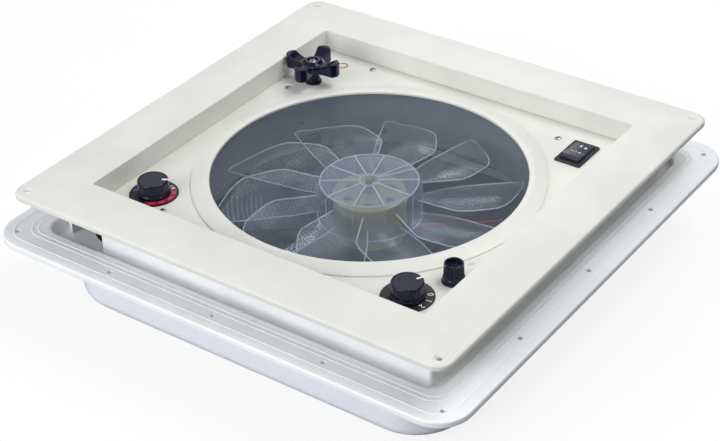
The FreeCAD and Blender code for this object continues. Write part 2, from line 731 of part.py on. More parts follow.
def make_gearbox_housing():
    """A box round worm and wheel, hung from the panel on two pillars; own origin on the worm."""
    body = new_body("gearbox_housing", "crank_x", "crank_y", "hinge_z")
    box, wall = GEARBOX, 2.5
    floor = box["z_low"] + wall
    block(body, floor, box["z_high"] - floor, box["x_low"], box["x_high"], box["y_low"], box["y_high"])
    sketch = new_sketch(body, offset=box["z_high"] - wall)
    add_rectangle(sketch, box["x_low"] + wall, box["x_high"] - wall, box["y_low"] + wall,
                  box["y_high"] - wall)
    cut(body, sketch, box["z_high"] - wall - floor)
    for end in (box["y_low"] - 8, box["y_high"]):
        block(body, box["z_high"] - wall, wall, -4, 4, end, end + 8)
    pillars = [(0, box["y_low"] - 4), (0, box["y_high"] + 4)]
    disc(body, box["z_high"], "pillar_height", 3.5, pillars)
    bore(body, box["z_high"] + 5, 12, 1.55, pillars)
    bore(body, box["z_high"], wall, "shaft_hole")
    sketch = new_sketch(body, "YZ_Plane", 0)
    add_circle(sketch, "arm_shaft_hole", "gear_distance", 0)
    cut(body, sketch, 60, both_ways=True)
    return body


def make_gearbox_cover():
    body = new_body("gearbox_cover", "crank_x", "crank_y", "hinge_z")
    box = GEARBOX
    block(body, box["z_low"], 2.5, box["x_low"], box["x_high"], box["y_low"], box["y_high"])
    disc(body, box["z_low"] - 2.5, 5, 5)
    bore(body, box["z_low"] + 2.5, 3.5, "shaft_hole")
    return body


def make_gearbox_screws():
    body = new_body("gearbox_screws", "crank_x", "crank_y", "hinge_z")
    box = GEARBOX
    pillars = [(0, box["y_low"] - 4), (0, box["y_high"] + 4)]
    disc(body, box["z_high"] - 4.3, 1.8, 3, pillars)
    disc(body, box["z_high"] - 2.5, 7, 1.5, pillars)
    return body


def make_crank_shaft():
    body = new_body("crank_shaft", "crank_x", "crank_y")
    bottom = number("hinge_z") - 15
    disc(body, bottom, number("crank_shaft_top") - bottom, "crank_shaft_radius")
    return body


def make_crank_bush():
    body = new_body("crank_bush", "crank_x", "crank_y")
    top = number("panel_top")
    revolve(body, [("shaft_hole", top - 7), (6, top - 7), (6, top), (7.4, top), (7.4, top + 1.7),
                   ("shaft_hole", top + 1.7)])
    return body


def make_crank_knob():
    """A star knob on a thick stem; its four flared lobes rise out of a dish round the screw's boss."""
    turn = FreeCAD.Rotation(Z_AXIS, 4)
    body = new_body("crank_knob", "crank_x", "crank_y", 0, turn)
    disc(body, "knob_under", "knob_thick", 10.5)
    reach, half, waist = number("lobe_reach"), number("lobe_half"), number("lobe_waist")
    sketch = new_sketch(body, offset="knob_under")
    add_polygon(sketch, [(0, -waist), (12, -waist), (reach - 3, -half), (reach - 1, 1.2 - half),
                         ("lobe_reach", 3.5 - half), ("lobe_reach", half - 3.5),
                         (reach - 1, half - 1.2), (reach - 3, half), (12, waist), (0, waist)])
    polar(body, pad(body, sketch, "knob_thick"), 4)
    top = number("knob_top")
    dress(body, "Fillet", 1.2, lambda edge: flat_at(edge, top))
    groove(body, [(0, top + 1), (0, "boss_top"), (6.6, "boss_top"), (10.5, top - 5.6), (16, top - 4.2),
                  (21, top - 1.2), (23.5, top + 1)])
    disc(body, "stem_bottom", "stem_height", "stem_radius")
    bore(body, "boss_top", "screw_recess", 5)
    shaft_top = number("crank_shaft_top")
    bore(body, shaft_top, shaft_top - number("stem_bottom"), "crank_shaft_radius")
    bore(body, "screw_seat", "knob_screw_length", 1.5)
    return body


def make_crank_screw():
    body = new_body("crank_screw", "crank_x", "crank_y")
    disc(body, "screw_seat", 1.5, 3.6)
    disc(body, "crank_shaft_top", "knob_screw_length", 1.5)
    return body


# --------------------------------------------------------------- fan and motor
# Distance from the axis, the leading and trailing sides of the blade, its pitch and its thickness.
BLADE_STATIONS = ((41.6, -15.4, 15.4, 24, 2.2), (58, -22, 22.5, 16, 2), (74, -28.3, 27.5, 12, 1.9),
                  (92, -24, 32, 11, 1.7), (108, -17, 35.5, 10, 1.6), (118, -2, 37.5, 10, 1.5),
                  (127.5, 30, 39, 10, 1.3))


def blade_section(distance, leading, trailing, pitch, thickness):
    """A thin arched section across the blade; its leading side stands higher than its trailing side."""
    slope, width = math.tan(math.radians(pitch)), trailing - leading
    top, bottom = [], []
    for step in range(5):
        share = step / 4
        across = leading + width * share
        rise = 0.05 * width * (1 - (2 * share - 1) ** 2) - across * slope
        for side, row in ((0.5, top), (-0.5, bottom)):
            row.append(V(distance, across, number("blade_plane") + rise + side * thickness))
    outline = top + bottom[::-1]
    return Part.makePolygon(outline + outline[:1])


def make_fan_rotor():
    """A clear moulded cup with radial ribs on its face and wide overlapping blades round its side."""
    top, bottom = number("hub_top"), number("hub_bottom")
    outer, inner = number("hub_radius"), number("hub_inner")
    count = int(number("blade_count"))
    shell = Part.makeCylinder(outer, top - bottom, V(0, 0, bottom))
    shell = shell.cut(Part.makeCylinder(inner, top - bottom - 2, V(0, 0, bottom)))
    shell = shell.fuse(Part.makeCylinder(7, 9.5, V(0, 0, top - 10)))
    blade = Part.makeLoft([blade_section(*station) for station in BLADE_STATIONS], True, True)
    pieces = []
    for index in range(count):
        turned = blade.copy()
        turned.rotate(V(0, 0, 0), Z_AXIS, number("blade_start") + index * number("blade_sweep"))
        pieces.append(turned)
        rib = Part.makeBox(inner - 12, 1.4, 1.1, V(9, -0.7, top - 0.1))
        rib.rotate(V(0, 0, 0), Z_AXIS, number("rib_start") + index * number("blade_sweep"))
        pieces.append(rib)
    rotor = shell.multiFuse(pieces)
    rotor = rotor.cut(Part.makeCylinder(number("motor_shaft_radius"), 40, V(0, 0, top - 20)))
    fan = DOC.addObject("Part::Feature", "fan_rotor")
    fan.Shape = rotor
    fan.Placement = FreeCAD.Placement()
    return fan


def make_motor_can():
    bottom, top = number("motor_bottom"), number("motor_top")
    body = new_body("motor_can")
    revolve(body, [(5, bottom), ("motor_radius", bottom), ("motor_radius", top), ("motor_inner", top),
                   ("motor_inner", bottom + 2), (5, bottom + 2)])
    sketch = new_sketch(body, offset=bottom + 2)
    for index in range(4):
        angle = math.radians(90 * index + 45)
        add_circle(sketch, 4, 19 * math.cos(angle), 19 * math.sin(angle))
    cut(body, sketch, 2)
    return body


def make_motor_end_cap():
    """The cap on the motor's fan end, with vent holes and a bush boss."""
    top = number("motor_top")
    body = new_body("motor_end_cap")
    revolve(body, [(5, top), ("motor_radius", top), ("motor_radius", top + 2), (9, top + 2),
                   (9, top + 3), (5, top + 3)])
    sketch = new_sketch(body, offset=top + 2)
    for index in range(6):
        angle = math.radians(60 * index)
        add_circle(sketch, 4, 20 * math.cos(angle), 20 * math.sin(angle))
    cut(body, sketch, 2)
    return body


def make_motor_bushes():
    bottom, top = number("motor_bottom"), number("motor_top")
    body = new_body("motor_bushes")
    for start in (bottom, top - 2):
        disc(body, start, 5, 5)
    bore(body, top + 5, 60, "motor_shaft_hole")
    return body


def make_motor_magnets():
    body = new_body("motor_magnets")
    disc(body, "magnet_bottom", 26, "motor_inner")
    bore(body, number("magnet_bottom") + 26, 26, 23)
    sketch = new_sketch(body, offset=number("magnet_bottom") + 26)
    add_rectangle(sketch, -8, 8, -40, 40)
    cut(body, sketch, 26)
    return body


def make_motor_armature():
    body = new_body("motor_armature")
    start = number("magnet_bottom")
    disc(body, start, 26, 22)
    disc(body, start - 2.6, 2.6, 9)
    bore(body, start + 26, 31, "motor_shaft_radius")
    sketch = new_sketch(body, offset=start + 26)
    add_rectangle(sketch, 12, 30, -1.5, 1.5)
    polar(body, cut(body, sketch, 26), 8)
    return body


def make_motor_shaft():
    body = new_body("motor_shaft")
    bottom = number("bracket_bottom") + 1
    disc(body, bottom, number("hub_top") + 3 - bottom, "motor_shaft_radius")
    top = number("hub_top") + 3
    dress(body, "Chamfer", 0.6, lambda edge: flat_at(edge, top))
    return body


def make_fan_collar():
    """The spring collar that grips the shaft over the hub's face."""
    top = number("hub_top")
    body = new_body("fan_collar")
    revolve(body, [("motor_shaft_radius", top), (6.5, top), (6.5, top + 1), (5, top + 1.8),
                   ("motor_shaft_radius", top + 1.8)])
    return body


def make_motor_bracket():
    """Four flat arms from the motor to the duct's foot."""
    body = new_body("motor_bracket", 0, 0, 0, FreeCAD.Rotation(Z_AXIS, number("bracket_turn")))
    half = number("bracket_arm") / 2
    disc(body, "bracket_bottom", "bracket_thick", 36)
    block(body, "bracket_bottom", "bracket_thick", "-duct_foot", "duct_foot", -half, half)
    block(body, "bracket_bottom", "bracket_thick", -half, half, "-duct_foot", "duct_foot")
    for side in (-half, half - 1.5):
        block(body, "motor_bottom", 3, 40, 140, side, side + 1.5)
        block(body, "motor_bottom", 3, -140, -40, side, side + 1.5)
    bore(body, "motor_bottom", "bracket_thick", 6)
    return body


def make_bracket_screws():
    bottom = number("bracket_bottom")
    radius = number("duct_outer") + 0.5
    turn = FreeCAD.Rotation(Z_AXIS, number("bracket_turn"))
    corners = [turn.multVec(V(radius, 0, 0)), turn.multVec(V(0, radius, 0)),
               turn.multVec(V(-radius, 0, 0)), turn.multVec(V(0, -radius, 0))]
    points = [(corner.x, corner.y) for corner in corners]
    return screws("bracket_screws", points, bottom - 2, 2, 3.2, bottom - 0.5, 0.5, 1.6)


def make_motor_screws():
    bottom = number("bracket_bottom")
    return screws("motor_screws", [(0, 19), (0, -19)], bottom - 2, 2, 3.2, bottom - 0.5, 0.5, 1.6)


LEAD_ROUTE = ((31.2, 0, 33.6), (62, 1.2, 32.4), (95, -0.8, 32.2), (128, 1, 33.4), (157, 0, 33.2),
              (168, 0.4, 44), (169, -0.2, 56), (171, 0, 65.7))
LEAD_RADIUS = 1.1


def round_path(points):
    """Straight runs joined by tangent arcs, each as large as its two runs allow."""
    edges, start = [], points[0]
    for before, corner, after in zip(points, points[1:], points[2:]):
        run_in, run_out = (before - corner), (after - corner)
        half_turn = (math.pi - run_in.getAngle(run_out)) / 2
        reach = 0.45 * min(run_in.Length, run_out.Length)
        radius = reach / math.tan(half_turn)
        inward, outward = V(run_in).normalize(), V(run_out).normalize()
        centre = corner + (inward + outward).normalize() * (radius / math.cos(half_turn))
        middle = centre + (corner - centre).normalize() * radius
        first, last = corner + inward * reach, corner + outward * reach
        edges.append(Part.LineSegment(start, first).toShape())
        edges.append(Part.Arc(first, middle, last).toShape())
        print("lead bend radius %.1f" % radius)
        start = last
    edges.append(Part.LineSegment(start, points[-1]).toShape())
    return Part.Wire(edges)


def make_motor_lead(label, sideways):
    """One motor wire, along a bracket arm, out through the duct and up to the switch."""
    turn = FreeCAD.Rotation(Z_AXIS, number("bracket_turn"))
    points = [turn.multVec(V(along, side + sideways, height)) for along, side, height in LEAD_ROUTE]
    path = round_path(points)
    heading = points[1] - points[0]
    section = Part.Wire(Part.makeCircle(LEAD_RADIUS, points[0], heading))
    tube = path.makePipeShell([section], True, True)
    expected = math.pi * LEAD_RADIUS ** 2 * path.Length
    if abs(tube.Volume / expected - 1) > 0.01:
        raise RuntimeError("the tube of %s is not its section times its length" % label)
    lead = DOC.addObject("Part::Feature", label)
    lead.Shape = tube
    lead.Placement = FreeCAD.Placement()
    return lead


# -------------------------------------------------------------------- controls
def make_dial(label, x, y, radius):
    body = new_body(label, x, y)
    disc(body, "panel_top", "dial_thick", radius)
    bore(body, "dial_top", "dial_thick", "control_bore")
    return body


def make_dial_knob(label, x, y, pointer):
    """A tapered round knob with fine flutes; its raised pointer line stands at the pointer angle."""
    body = new_body(label, x, y, 0, FreeCAD.Rotation(Z_AXIS, number(pointer)))
    bottom, top = number("dial_top") + 0.4, number("dial_knob_top")
    foot, rim = number("dial_knob_foot"), number("dial_knob")
    revolve(body, [(0, bottom), (foot, bottom), (foot, bottom + 2), (rim + 0.4, bottom + 2.6),
                   ("dial_knob", top - 0.8), (rim - 0.8, top), (0, top)])
    sketch = new_sketch(body, offset=top + 0.5)
    add_circle(sketch, 0.55, rim + 0.45, 0)
    polar(body, cut(body, sketch, top - bottom - 2.6), 30)
    block(body, top - 0.2, 0.45, 4, rim - 0.4, -0.6, 0.6)
    bore(body, bottom + 8, 9, "dial_shaft")
    return body


def make_dial_shaft(label, x, y):
    body = new_body(label, x, y)
    bottom = number("panel_bottom") - 8
    disc(body, bottom, number("dial_top") + 8.4 - bottom, "dial_shaft")
    return body


def make_control_box(label, x, y, radius, depth):
    """The round body of a rotary control under the panel, with its threaded neck and nut."""
    top = number("panel_bottom")
    body = new_body(label, x, y)
    disc(body, top - depth, depth, radius)
    disc(body, top, "control_neck", 4.1)
    bore(body, "dial_top", number("dial_top") - top + 8, "dial_shaft_hole")
    block(body, top - depth - 6, 7, -7, -6.2, -2.5, 2.5)
    block(body, top - depth - 6, 7, 6.2, 7, -2.5, 2.5)
    return body


def make_fuse_holder():
    top = number("panel_top")
    body = new_body("fuse_holder", "fuse_x", "fuse_y")
    revolve(body, [(0, top - 30), ("fuse_tube", top - 30), ("fuse_tube", top), ("fuse_flange", top),
                   ("fuse_flange", top + 1.2), (8.8, top + 1.6), (4.6, top + 1.6), (4.6, top - 27),
                   (0, top - 27)])
    return body


def make_fuse_nut():
    body = new_body("fuse_nut", "fuse_x", "fuse_y")
    top = number("panel_bottom")
    sketch = new_sketch(body, offset=top - 4)
    hexagon = [(10.4 * math.cos(math.radians(60 * k)), 10.4 * math.sin(math.radians(60 * k)))
               for k in range(6)]
    add_polygon(sketch, hexagon)
    pad(body, sketch, 4)
    bore(body, top, 4, "fuse_tube")
    return body


def make_fuse_cap():
    """A fluted bayonet cap with a coin slot; its skirt is wider than its top."""
    bottom, top = number("panel_top") + 2, number("fuse_cap_top")
    rim = number("fuse_cap")
    body = new_body("fuse_cap", "fuse_x", "fuse_y")
    revolve(body, [(0, bottom - 4), (4.2, bottom - 4), (4.2, bottom), (rim + 0.9, bottom),
                   (rim + 0.6, bottom + 8), ("fuse_cap", bottom + 9.5), ("fuse_cap", top - 0.6),
                   (rim - 0.6, top), (5.6, top), (5.2, top - 3), (0, top - 3)])
    sketch = new_sketch(body, offset=bottom + 9)
    add_circle(sketch, 0.9, rim + 1.15, 0)
    polar(body, cut(body, sketch, 9), 16)
    sketch = new_sketch(body, offset=top - 3)
    add_rectangle(sketch, -4.8, 4.8, -0.7, 0.7)
    cut(body, sketch, 2)
    bore(body, bottom - 1, 3, 3.05)
    return body


def make_fuse_cartridge():
    body = new_body("fuse_cartridge", "fuse_x", "fuse_y")
    bottom = number("panel_top") - 25
    disc(body, bottom, number("panel_top") + 1 - bottom, 3)
    return body


def make_rocker_housing():
    body = new_body("rocker_housing", "rocker_x", "rocker_y")
    sketch = new_sketch(body, offset="panel_top")
    add_rectangle(sketch, "-bezel_half_x", "bezel_half_x", "-bezel_half_y", "bezel_half_y")
    pad(body, sketch, "bezel_rise")
    dress(body, "Fillet", "bezel_corner", upright)
    top = number("bezel_top")
    dress(body, "Fillet", 1, lambda edge: flat_at(edge, top))
    block(body, "switch_bottom", "switch_depth", -10.5, 10.5, -15.9, 15.9)
    sketch = new_sketch(body, offset="bezel_top")
    add_rectangle(sketch, "-well_x", "well_x", "-well_y", "well_y")
    cut(body, sketch, "well_depth")
    sketch = new_sketch(body, "YZ_Plane", 0)
    add_circle(sketch, "rocker_pin_hole", 0, "panel_top")
    cut(body, sketch, 21.2, both_ways=True)
    return body


def make_rocker_button():
    """The rocker, pressed at its +Y end at rest; its pin is moulded on."""
    tilt = FreeCAD.Rotation(X_AXIS, -number("rocker_tilt"))
    body = new_body("rocker_button", "rocker_x", "rocker_y", "panel_top", tilt)
    half = number("rocker_half")
    sketch = new_sketch(body, "YZ_Plane", -half)
    add_polygon(sketch, [(-14.2, -1), (-14.2, 4.4), (-13.2, 5), (0, 3.2), (13.2, 5), (14.2, 4.4),
                         (14.2, -1), (0, -6)])
    pad(body, sketch, 2 * half)
    barrel(body, 0, 0, -half - 1.7, 2 * half + 3.4, "rocker_pin")
    return body


def make_crank_label():
    """A small printed ring label on the panel beside the crank."""
    body = new_body("crank_label", -128, 141)
    disc(body, "panel_top", 0.15, 5)
    bore(body, number("panel_top") + 0.15, 0.15, 3.6)
    return body


def build_all():
    """Every sub-part; each one's Label is the name of its file."""
    parts = [make_roof_flange(), make_weather_coaming(), make_garnish(), make_control_panel(),
             make_panel_screws(), make_screen_ring(), make_screen_mesh(), make_fan_duct(),
             make_lid_shell(), make_lid_seal(), make_lid_track(), make_track_screws(),
             make_lift_arm(), make_arm_roller(), make_roller_pin(), make_arm_shaft(),
             make_worm_wheel(), make_worm(), make_gearbox_housing(), make_gearbox_cover(),
             make_gearbox_screws(), make_crank_shaft(), make_crank_bush(), make_crank_knob(),
             make_crank_screw(), make_fan_rotor(), make_motor_can(), make_motor_end_cap(),
             make_motor_bushes(), make_motor_magnets(), make_motor_armature(), make_motor_shaft(),
             make_fan_collar(), make_motor_bracket(), make_bracket_screws(), make_motor_screws(),
             make_motor_lead("motor_lead_red", -2.4), make_motor_lead("motor_lead_black", 2.4),
             make_dial("thermostat_dial", "heat_x", "heat_y", "heat_dial"),
             make_dial("speed_dial", "speed_x", "speed_y", "speed_dial"),
             make_dial_knob("thermostat_knob", "heat_x", "heat_y", "heat_pointer"),
             make_dial_knob("speed_knob", "speed_x", "speed_y", "speed_pointer"),
             make_dial_shaft("thermostat_shaft", "heat_x", "heat_y"),
             make_dial_shaft("speed_shaft", "speed_x", "speed_y"),
             make_control_box("thermostat_body", "heat_x", "heat_y", 13, 15),
             make_control_box("speed_switch_body", "speed_x", "speed_y", 14, 17),
             make_fuse_holder(), make_fuse_nut(), make_fuse_cap(), make_fuse_cartridge(),
             make_rocker_housing(), make_rocker_button(), make_crank_label()]
    for side, name in ((-1, "left"), (1, "right")):
        parts += hinge_leaves(side, name)
    return parts


def check_and_write(parts):
    DOC.recompute()
    for item in DOC.Objects:
        if {"Invalid", "Error"} & set(item.State):
            raise RuntimeError("%s did not compute" % item.Name)
    os.makedirs("parts", exist_ok=True)
    for part in parts:
        shape = part.Shape
        if shape.isNull() or not shape.isValid() or not shape.Solids:
            raise RuntimeError("%s has no valid solid" % part.Label)
        shape.exportStep("parts/%s.step" % part.Label)
    print("%d sub-parts written" % len(parts))


fill_sheet()
check_and_write(build_all())
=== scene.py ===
"""Looks of a powered roof vent, room side up, standing on its closed lid.

Lengths in this script are millimetres and angles are degrees; a mesh is scaled to metres when it is made.
+Z points into the room, +Y towards the lid hinge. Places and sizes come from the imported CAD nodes.
"""
import math

import bmesh
import bpy
from mathutils import Matrix, Vector


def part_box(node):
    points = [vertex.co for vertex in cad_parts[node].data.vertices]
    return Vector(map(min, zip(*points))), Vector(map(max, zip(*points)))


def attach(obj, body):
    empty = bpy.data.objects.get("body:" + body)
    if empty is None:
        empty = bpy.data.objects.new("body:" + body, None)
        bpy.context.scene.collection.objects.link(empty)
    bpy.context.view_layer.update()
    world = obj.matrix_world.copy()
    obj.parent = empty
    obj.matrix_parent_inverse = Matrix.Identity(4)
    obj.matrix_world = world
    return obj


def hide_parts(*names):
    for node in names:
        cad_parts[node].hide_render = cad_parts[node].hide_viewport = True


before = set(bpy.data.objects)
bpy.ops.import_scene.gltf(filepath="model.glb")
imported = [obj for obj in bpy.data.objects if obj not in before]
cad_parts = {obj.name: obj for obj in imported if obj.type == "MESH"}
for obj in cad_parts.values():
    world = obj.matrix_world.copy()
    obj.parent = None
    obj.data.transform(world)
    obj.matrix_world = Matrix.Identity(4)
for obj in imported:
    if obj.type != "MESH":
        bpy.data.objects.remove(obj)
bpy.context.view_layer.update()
MM = 0.001


# ------------------------------------------------------------------------- places from the CAD nodes
def span(node):
    """Lowest and highest corner of a CAD node, in millimetres."""
    low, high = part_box(node)
    return low / MM, high / MM


def middle(node):
    low, high = span(node)
    return (low.x + high.x) / 2, (low.y + high.y) / 2


TOP = span("garnish_frame")[1].z
GARNISH_HALF = span("garnish_frame")[1].x
COLLAR_BOTTOM = span("garnish_frame")[0].z
PANEL_TOP = span("control_panel")[1].z
PANEL_BOTTOM = span("control_panel")[0].z
FLANGE_HALF = span("roof_flange")[1].x
FLANGE_BOTTOM = span("roof_flange")[0].z
NECK_TOP = span("roof_flange")[1].z
FLANGE_TOP = TOP - 37.5
STEP_FLOOR = TOP - 47
RING_OUTER = span("screen_ring")[1].x
RING_TOP = span("screen_ring")[1].z
MESH_LOW = span("screen_mesh")[0].z
MESH_RADIUS = span("screen_mesh")[1].x
DUCT_BOTTOM = span("fan_duct")[0].z
LID_HALF = span("lid_shell")[1].x
LID_RIM = span("lid_shell")[1].z
COAMING_HALF = span("weather_coaming")[1].x
SHAFT_TOP = span("motor_shaft")[1].z
HUB_BOTTOM = SHAFT_TOP - 37
HUB_TOP = SHAFT_TOP - 3
CRANK = middle("crank_shaft")
HEAT = middle("thermostat_dial")
SPEED = middle("speed_dial")
FUSE = middle("fuse_holder")
ROCKER = middle("rocker_housing")
DIAL_TOP = span("speed_dial")[1].z
FUSE_MARKS = (FUSE[0] - 1, FUSE[1] + 23)


# ------------------------------------------------------------------------------------ solids
class Solid:
    """Points in millimetres and the faces between them; solids add up to one mesh."""

    def __init__(self, points=(), faces=()):
        self.points = [Vector(p) for p in points]
        self.faces = [tuple(f) for f in faces]

    def __add__(self, other):
        shift = len(self.points)
        faces = [tuple(i + shift for i in face) for face in other.faces]
        return Solid(self.points + other.points, self.faces + faces)

    def through(self, matrix):
        return Solid([matrix @ p for p in self.points], self.faces)

    def at(self, x=0, y=0, z=0, turn=0):
        """Turned about Z and then moved."""
        spin = Matrix.Rotation(math.radians(turn), 4, "Z")
        return self.through(Matrix.Translation((x, y, z)) @ spin)


def together(solids):
    total = Solid()
    for solid in solids:
        total = total + solid
    return total


def loft(rings, loop=False):
    """Faces between rings of equal length. The ends are closed, or loop joins last to first."""
    count = len(rings[0])
    faces = []
    for i in range(len(rings) if loop else len(rings) - 1):
        a, b = i * count, (i + 1) % len(rings) * count
        faces += [(a + k, a + (k + 1) % count, b + (k + 1) % count, b + k) for k in range(count)]
    total = len(rings) * count
    if not loop:
        faces += [tuple(range(count))[::-1], tuple(range(total - count, total))]
    return Solid([p for ring in rings for p in ring], faces)


def soften(outline, steps=4):
    """Rounds the corners of a closed flat outline. A point is (a, b, radius, ...); what follows is kept."""
    rounded = []
    count = len(outline)
    for i, point in enumerate(outline):
        radius, rest = point[2], tuple(point[3:])
        if radius <= 0:
            rounded.append((point[0], point[1]) + rest)
            continue
        here = Vector(point[:2])
        inward = (Vector(outline[i - 1][:2]) - here).normalized()
        outward = (Vector(outline[(i + 1) % count][:2]) - here).normalized()
        half = inward.angle(outward) / 2
        centre = here + (inward + outward).normalized() * (radius / math.sin(half))
        reach = radius / math.tan(half)
        start, end = here + inward * reach - centre, here + outward * reach - centre
        sweep = start.angle_signed(end)
        for step in range(steps + 1):
            turned = centre + Matrix.Rotation(-sweep * step / steps, 2) @ start
            rounded.append((turned.x, turned.y) + rest)
    return rounded


def square_outline(half, corner, z, half_y=None, steps=8):
    """A rounded square or rectangle about the origin, the same number of points for every size."""
    corner = max(corner, 0.05)
    reach_x, reach_y = half - corner, (half if half_y is None else half_y) - corner
    points = []
    for quarter, (side_x, side_y) in enumerate(((1, 1), (-1, 1), (-1, -1), (1, -1))):
        for step in range(steps + 1):
            angle = math.pi / 2 * (quarter + step / steps)
            points.append((side_x * reach_x + corner * math.cos(angle),
                           side_y * reach_y + corner * math.sin(angle), z))
    return points


def square_ring(profile):
    """Sweeps a closed outline of (half size, height, rounding, corner radius) round a square."""
    rings = [square_outline(half, corner, z) for half, z, corner in soften(profile)]
    return loft(rings, loop=True)


def lathe(profile, steps):
    """Turns a closed outline of (radius, height, rounding) about Z."""
    rings = [[(r * math.cos(2 * math.pi * k / steps), r * math.sin(2 * math.pi * k / steps), z)
              for k in range(steps)] for r, z in soften(profile)]
    return loft(rings, loop=True)


def prism(outline, low, high):
    return loft([[(x, y, z) for x, y in outline] for z in (low, high)])


def box(x_low, x_high, y_low, y_high, z_low, z_high):
    return prism([(x_low, y_low), (x_high, y_low), (x_high, y_high), (x_low, y_high)], z_low, z_high)


def ring_part(inner, outer, start, end, low, high, steps=16):
    """A flat piece of a ring between two angles."""
    angles = [math.radians(start + (end - start) * k / steps) for k in range(steps + 1)]
    outline = [(outer * math.cos(a), outer * math.sin(a)) for a in angles]
    outline += [(inner * math.cos(a), inner * math.sin(a)) for a in reversed(angles)]
    return prism(outline, low, high)


def numeral(text, size, thick):
    """A character as a solid, centred on the origin and standing on z = 0."""
    curve = bpy.data.curves.new("numeral", "FONT")
    curve.body, curve.size = text, size
    curve.extrude = thick / 2
    curve.align_x, curve.align_y = "CENTER", "CENTER"
    carrier = bpy.data.objects.new("numeral", curve)
    mesh = bpy.data.meshes.new_from_object(carrier)
    points = [v.co.copy() for v in mesh.vertices]
    low_x, high_x = min(p.x for p in points), max(p.x for p in points)
    low_y, high_y = min(p.y for p in points), max(p.y for p in points)
    shift = Vector(((low_x + high_x) / 2, (low_y + high_y) / 2, -thick / 2))
    solid = Solid([p - shift for p in points], [tuple(f.vertices) for f in mesh.polygons])
    bpy.data.objects.remove(carrier)
    return solid


# ------------------------------------------------------------------------------------ pieces
def mesh_of(name, solid):
    build = bmesh.new()
    vertices = [build.verts.new(p * MM) for p in solid.points]
    for face in solid.faces:
        build.faces.new([vertices[i] for i in face])
    bmesh.ops.remove_doubles(build, verts=build.verts, dist=0.002 * MM)
    bmesh.ops.dissolve_degenerate(build, edges=build.edges, dist=0.001 * MM)
    bmesh.ops.recalc_face_normals(build, faces=build.faces)
    mesh = bpy.data.meshes.new(name)
    build.to_mesh(mesh)
    build.free()
    return mesh


def applied(obj):
    """The object's mesh with its modifiers worked in."""
    bpy.context.view_layer.update()
    graph = bpy.context.evaluated_depsgraph_get()
    mesh = bpy.data.meshes.new_from_object(obj.evaluated_get(graph))
    obj.modifiers.clear()
    obj.data = mesh


def piece(name, solid, finish, body, replaces=(), cut=None, bevel=0, melt=0, sharp=32):
    """One visible piece on a CAD body, shaded smooth up to a sharp angle.

    Its holes are cut first. Then its edges are rounded by a bevel, or melted by a fine grid.
    """
    obj = bpy.data.objects.new(name, mesh_of(name, solid))
    bpy.context.scene.collection.objects.link(obj)
    if cut:
        tool = bpy.data.objects.new("cutter", mesh_of("cutter", cut))
        bpy.context.scene.collection.objects.link(tool)
        carve = obj.modifiers.new("holes", "BOOLEAN")
        carve.object, carve.operation, carve.solver = tool, "DIFFERENCE", "EXACT"
        applied(obj)
        bpy.data.objects.remove(tool)
    if bevel:
        edge = obj.modifiers.new("edges", "BEVEL")
        edge.width, edge.segments = bevel * MM, 3
        edge.limit_method, edge.angle_limit = "ANGLE", math.radians(sharp)
        edge.use_clamp_overlap = True
        applied(obj)
    if melt:
        grid = obj.modifiers.new("grid", "REMESH")
        grid.mode, grid.voxel_size = "VOXEL", melt * MM
        soft = obj.modifiers.new("soft", "SMOOTH")
        soft.factor, soft.iterations = 0.5, 6
        applied(obj)
    obj.data.materials.clear()
    obj.data.materials.append(finish)
    obj.data.shade_smooth()
    obj.data.set_sharp_from_angle(angle=math.radians(sharp))
    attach(obj, body)
    if replaces:
        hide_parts(*replaces)


# --------------------------------------------------------------------------------- materials
def linear(red, green, blue):
    """A colour given as 0 to 255, as the shader wants it."""
    return tuple((c / 12.92 if c <= 0.04045 else ((c + 0.055) / 1.055) ** 2.4)
                 for c in (red / 255, green / 255, blue / 255)) + (1,)


class Nodes:
    """A material's node tree, with short ways to add what the finishes share."""

    def __init__(self, name):
        self.material = bpy.data.materials.new(name)
        self.material.use_nodes = True
        self.tree = self.material.node_tree
        self.shader = self.tree.nodes["Principled BSDF"]
        self.place = self.tree.nodes.new("ShaderNodeTexCoord").outputs["Object"]

    def link(self, source, target):
        self.tree.links.new(source, target)

    def set(self, **values):
        """Sets the shader's own sockets: base_color becomes Base Color."""
        for name, value in values.items():
            self.shader.inputs[name.replace("_", " ")].default_value = value

    def noise(self, scale, detail=3.0, stretch=None):
        """Noise whose grain is given as grains a metre; stretch lengthens it along an axis."""
        node = self.tree.nodes.new("ShaderNodeTexNoise")
        node.inputs["Scale"].default_value = scale
        node.inputs["Detail"].default_value = detail
        source = self.place
        if stretch:
            mapping = self.tree.nodes.new("ShaderNodeMapping")
            mapping.inputs["Scale"].default_value = stretch
            self.link(source, mapping.inputs["Vector"])
            source = mapping.outputs["Vector"]
        self.link(source, node.inputs["Vector"])
        return node.outputs["Fac"]

    def ramp(self, factor, *stops):
        """A colour for each stop of (place, colour)."""
        node = self.tree.nodes.new("ShaderNodeValToRGB")
        elements = node.color_ramp.elements
        while len(elements) < len(stops):
            elements.new(0.5)
        for element, (place, colour) in zip(elements, stops):
            element.position, element.color = place, colour
        self.link(factor, node.inputs["Fac"])
        return node.outputs["Color"]

    def between(self, factor, low, high, start=0.3, end=0.7):
        """A number that goes from low to high while the factor goes from start to end."""
        node = self.tree.nodes.new("ShaderNodeMapRange")
        node.inputs["From Min"].default_value = start
        node.inputs["From Max"].default_value = end
        node.inputs["To Min"].default_value = low
        node.inputs["To Max"].default_value = high
        self.link(factor, node.inputs["Value"])
        return node.outputs["Result"]

    def bump(self, height, strength, distance, after=None):
        node = self.tree.nodes.new("ShaderNodeBump")
        node.inputs["Strength"].default_value = strength
        node.inputs["Distance"].default_value = distance * MM
        self.link(height, node.inputs["Height"])
        if after:
            self.link(after, node.inputs["Normal"])
        return node.outputs["Normal"]


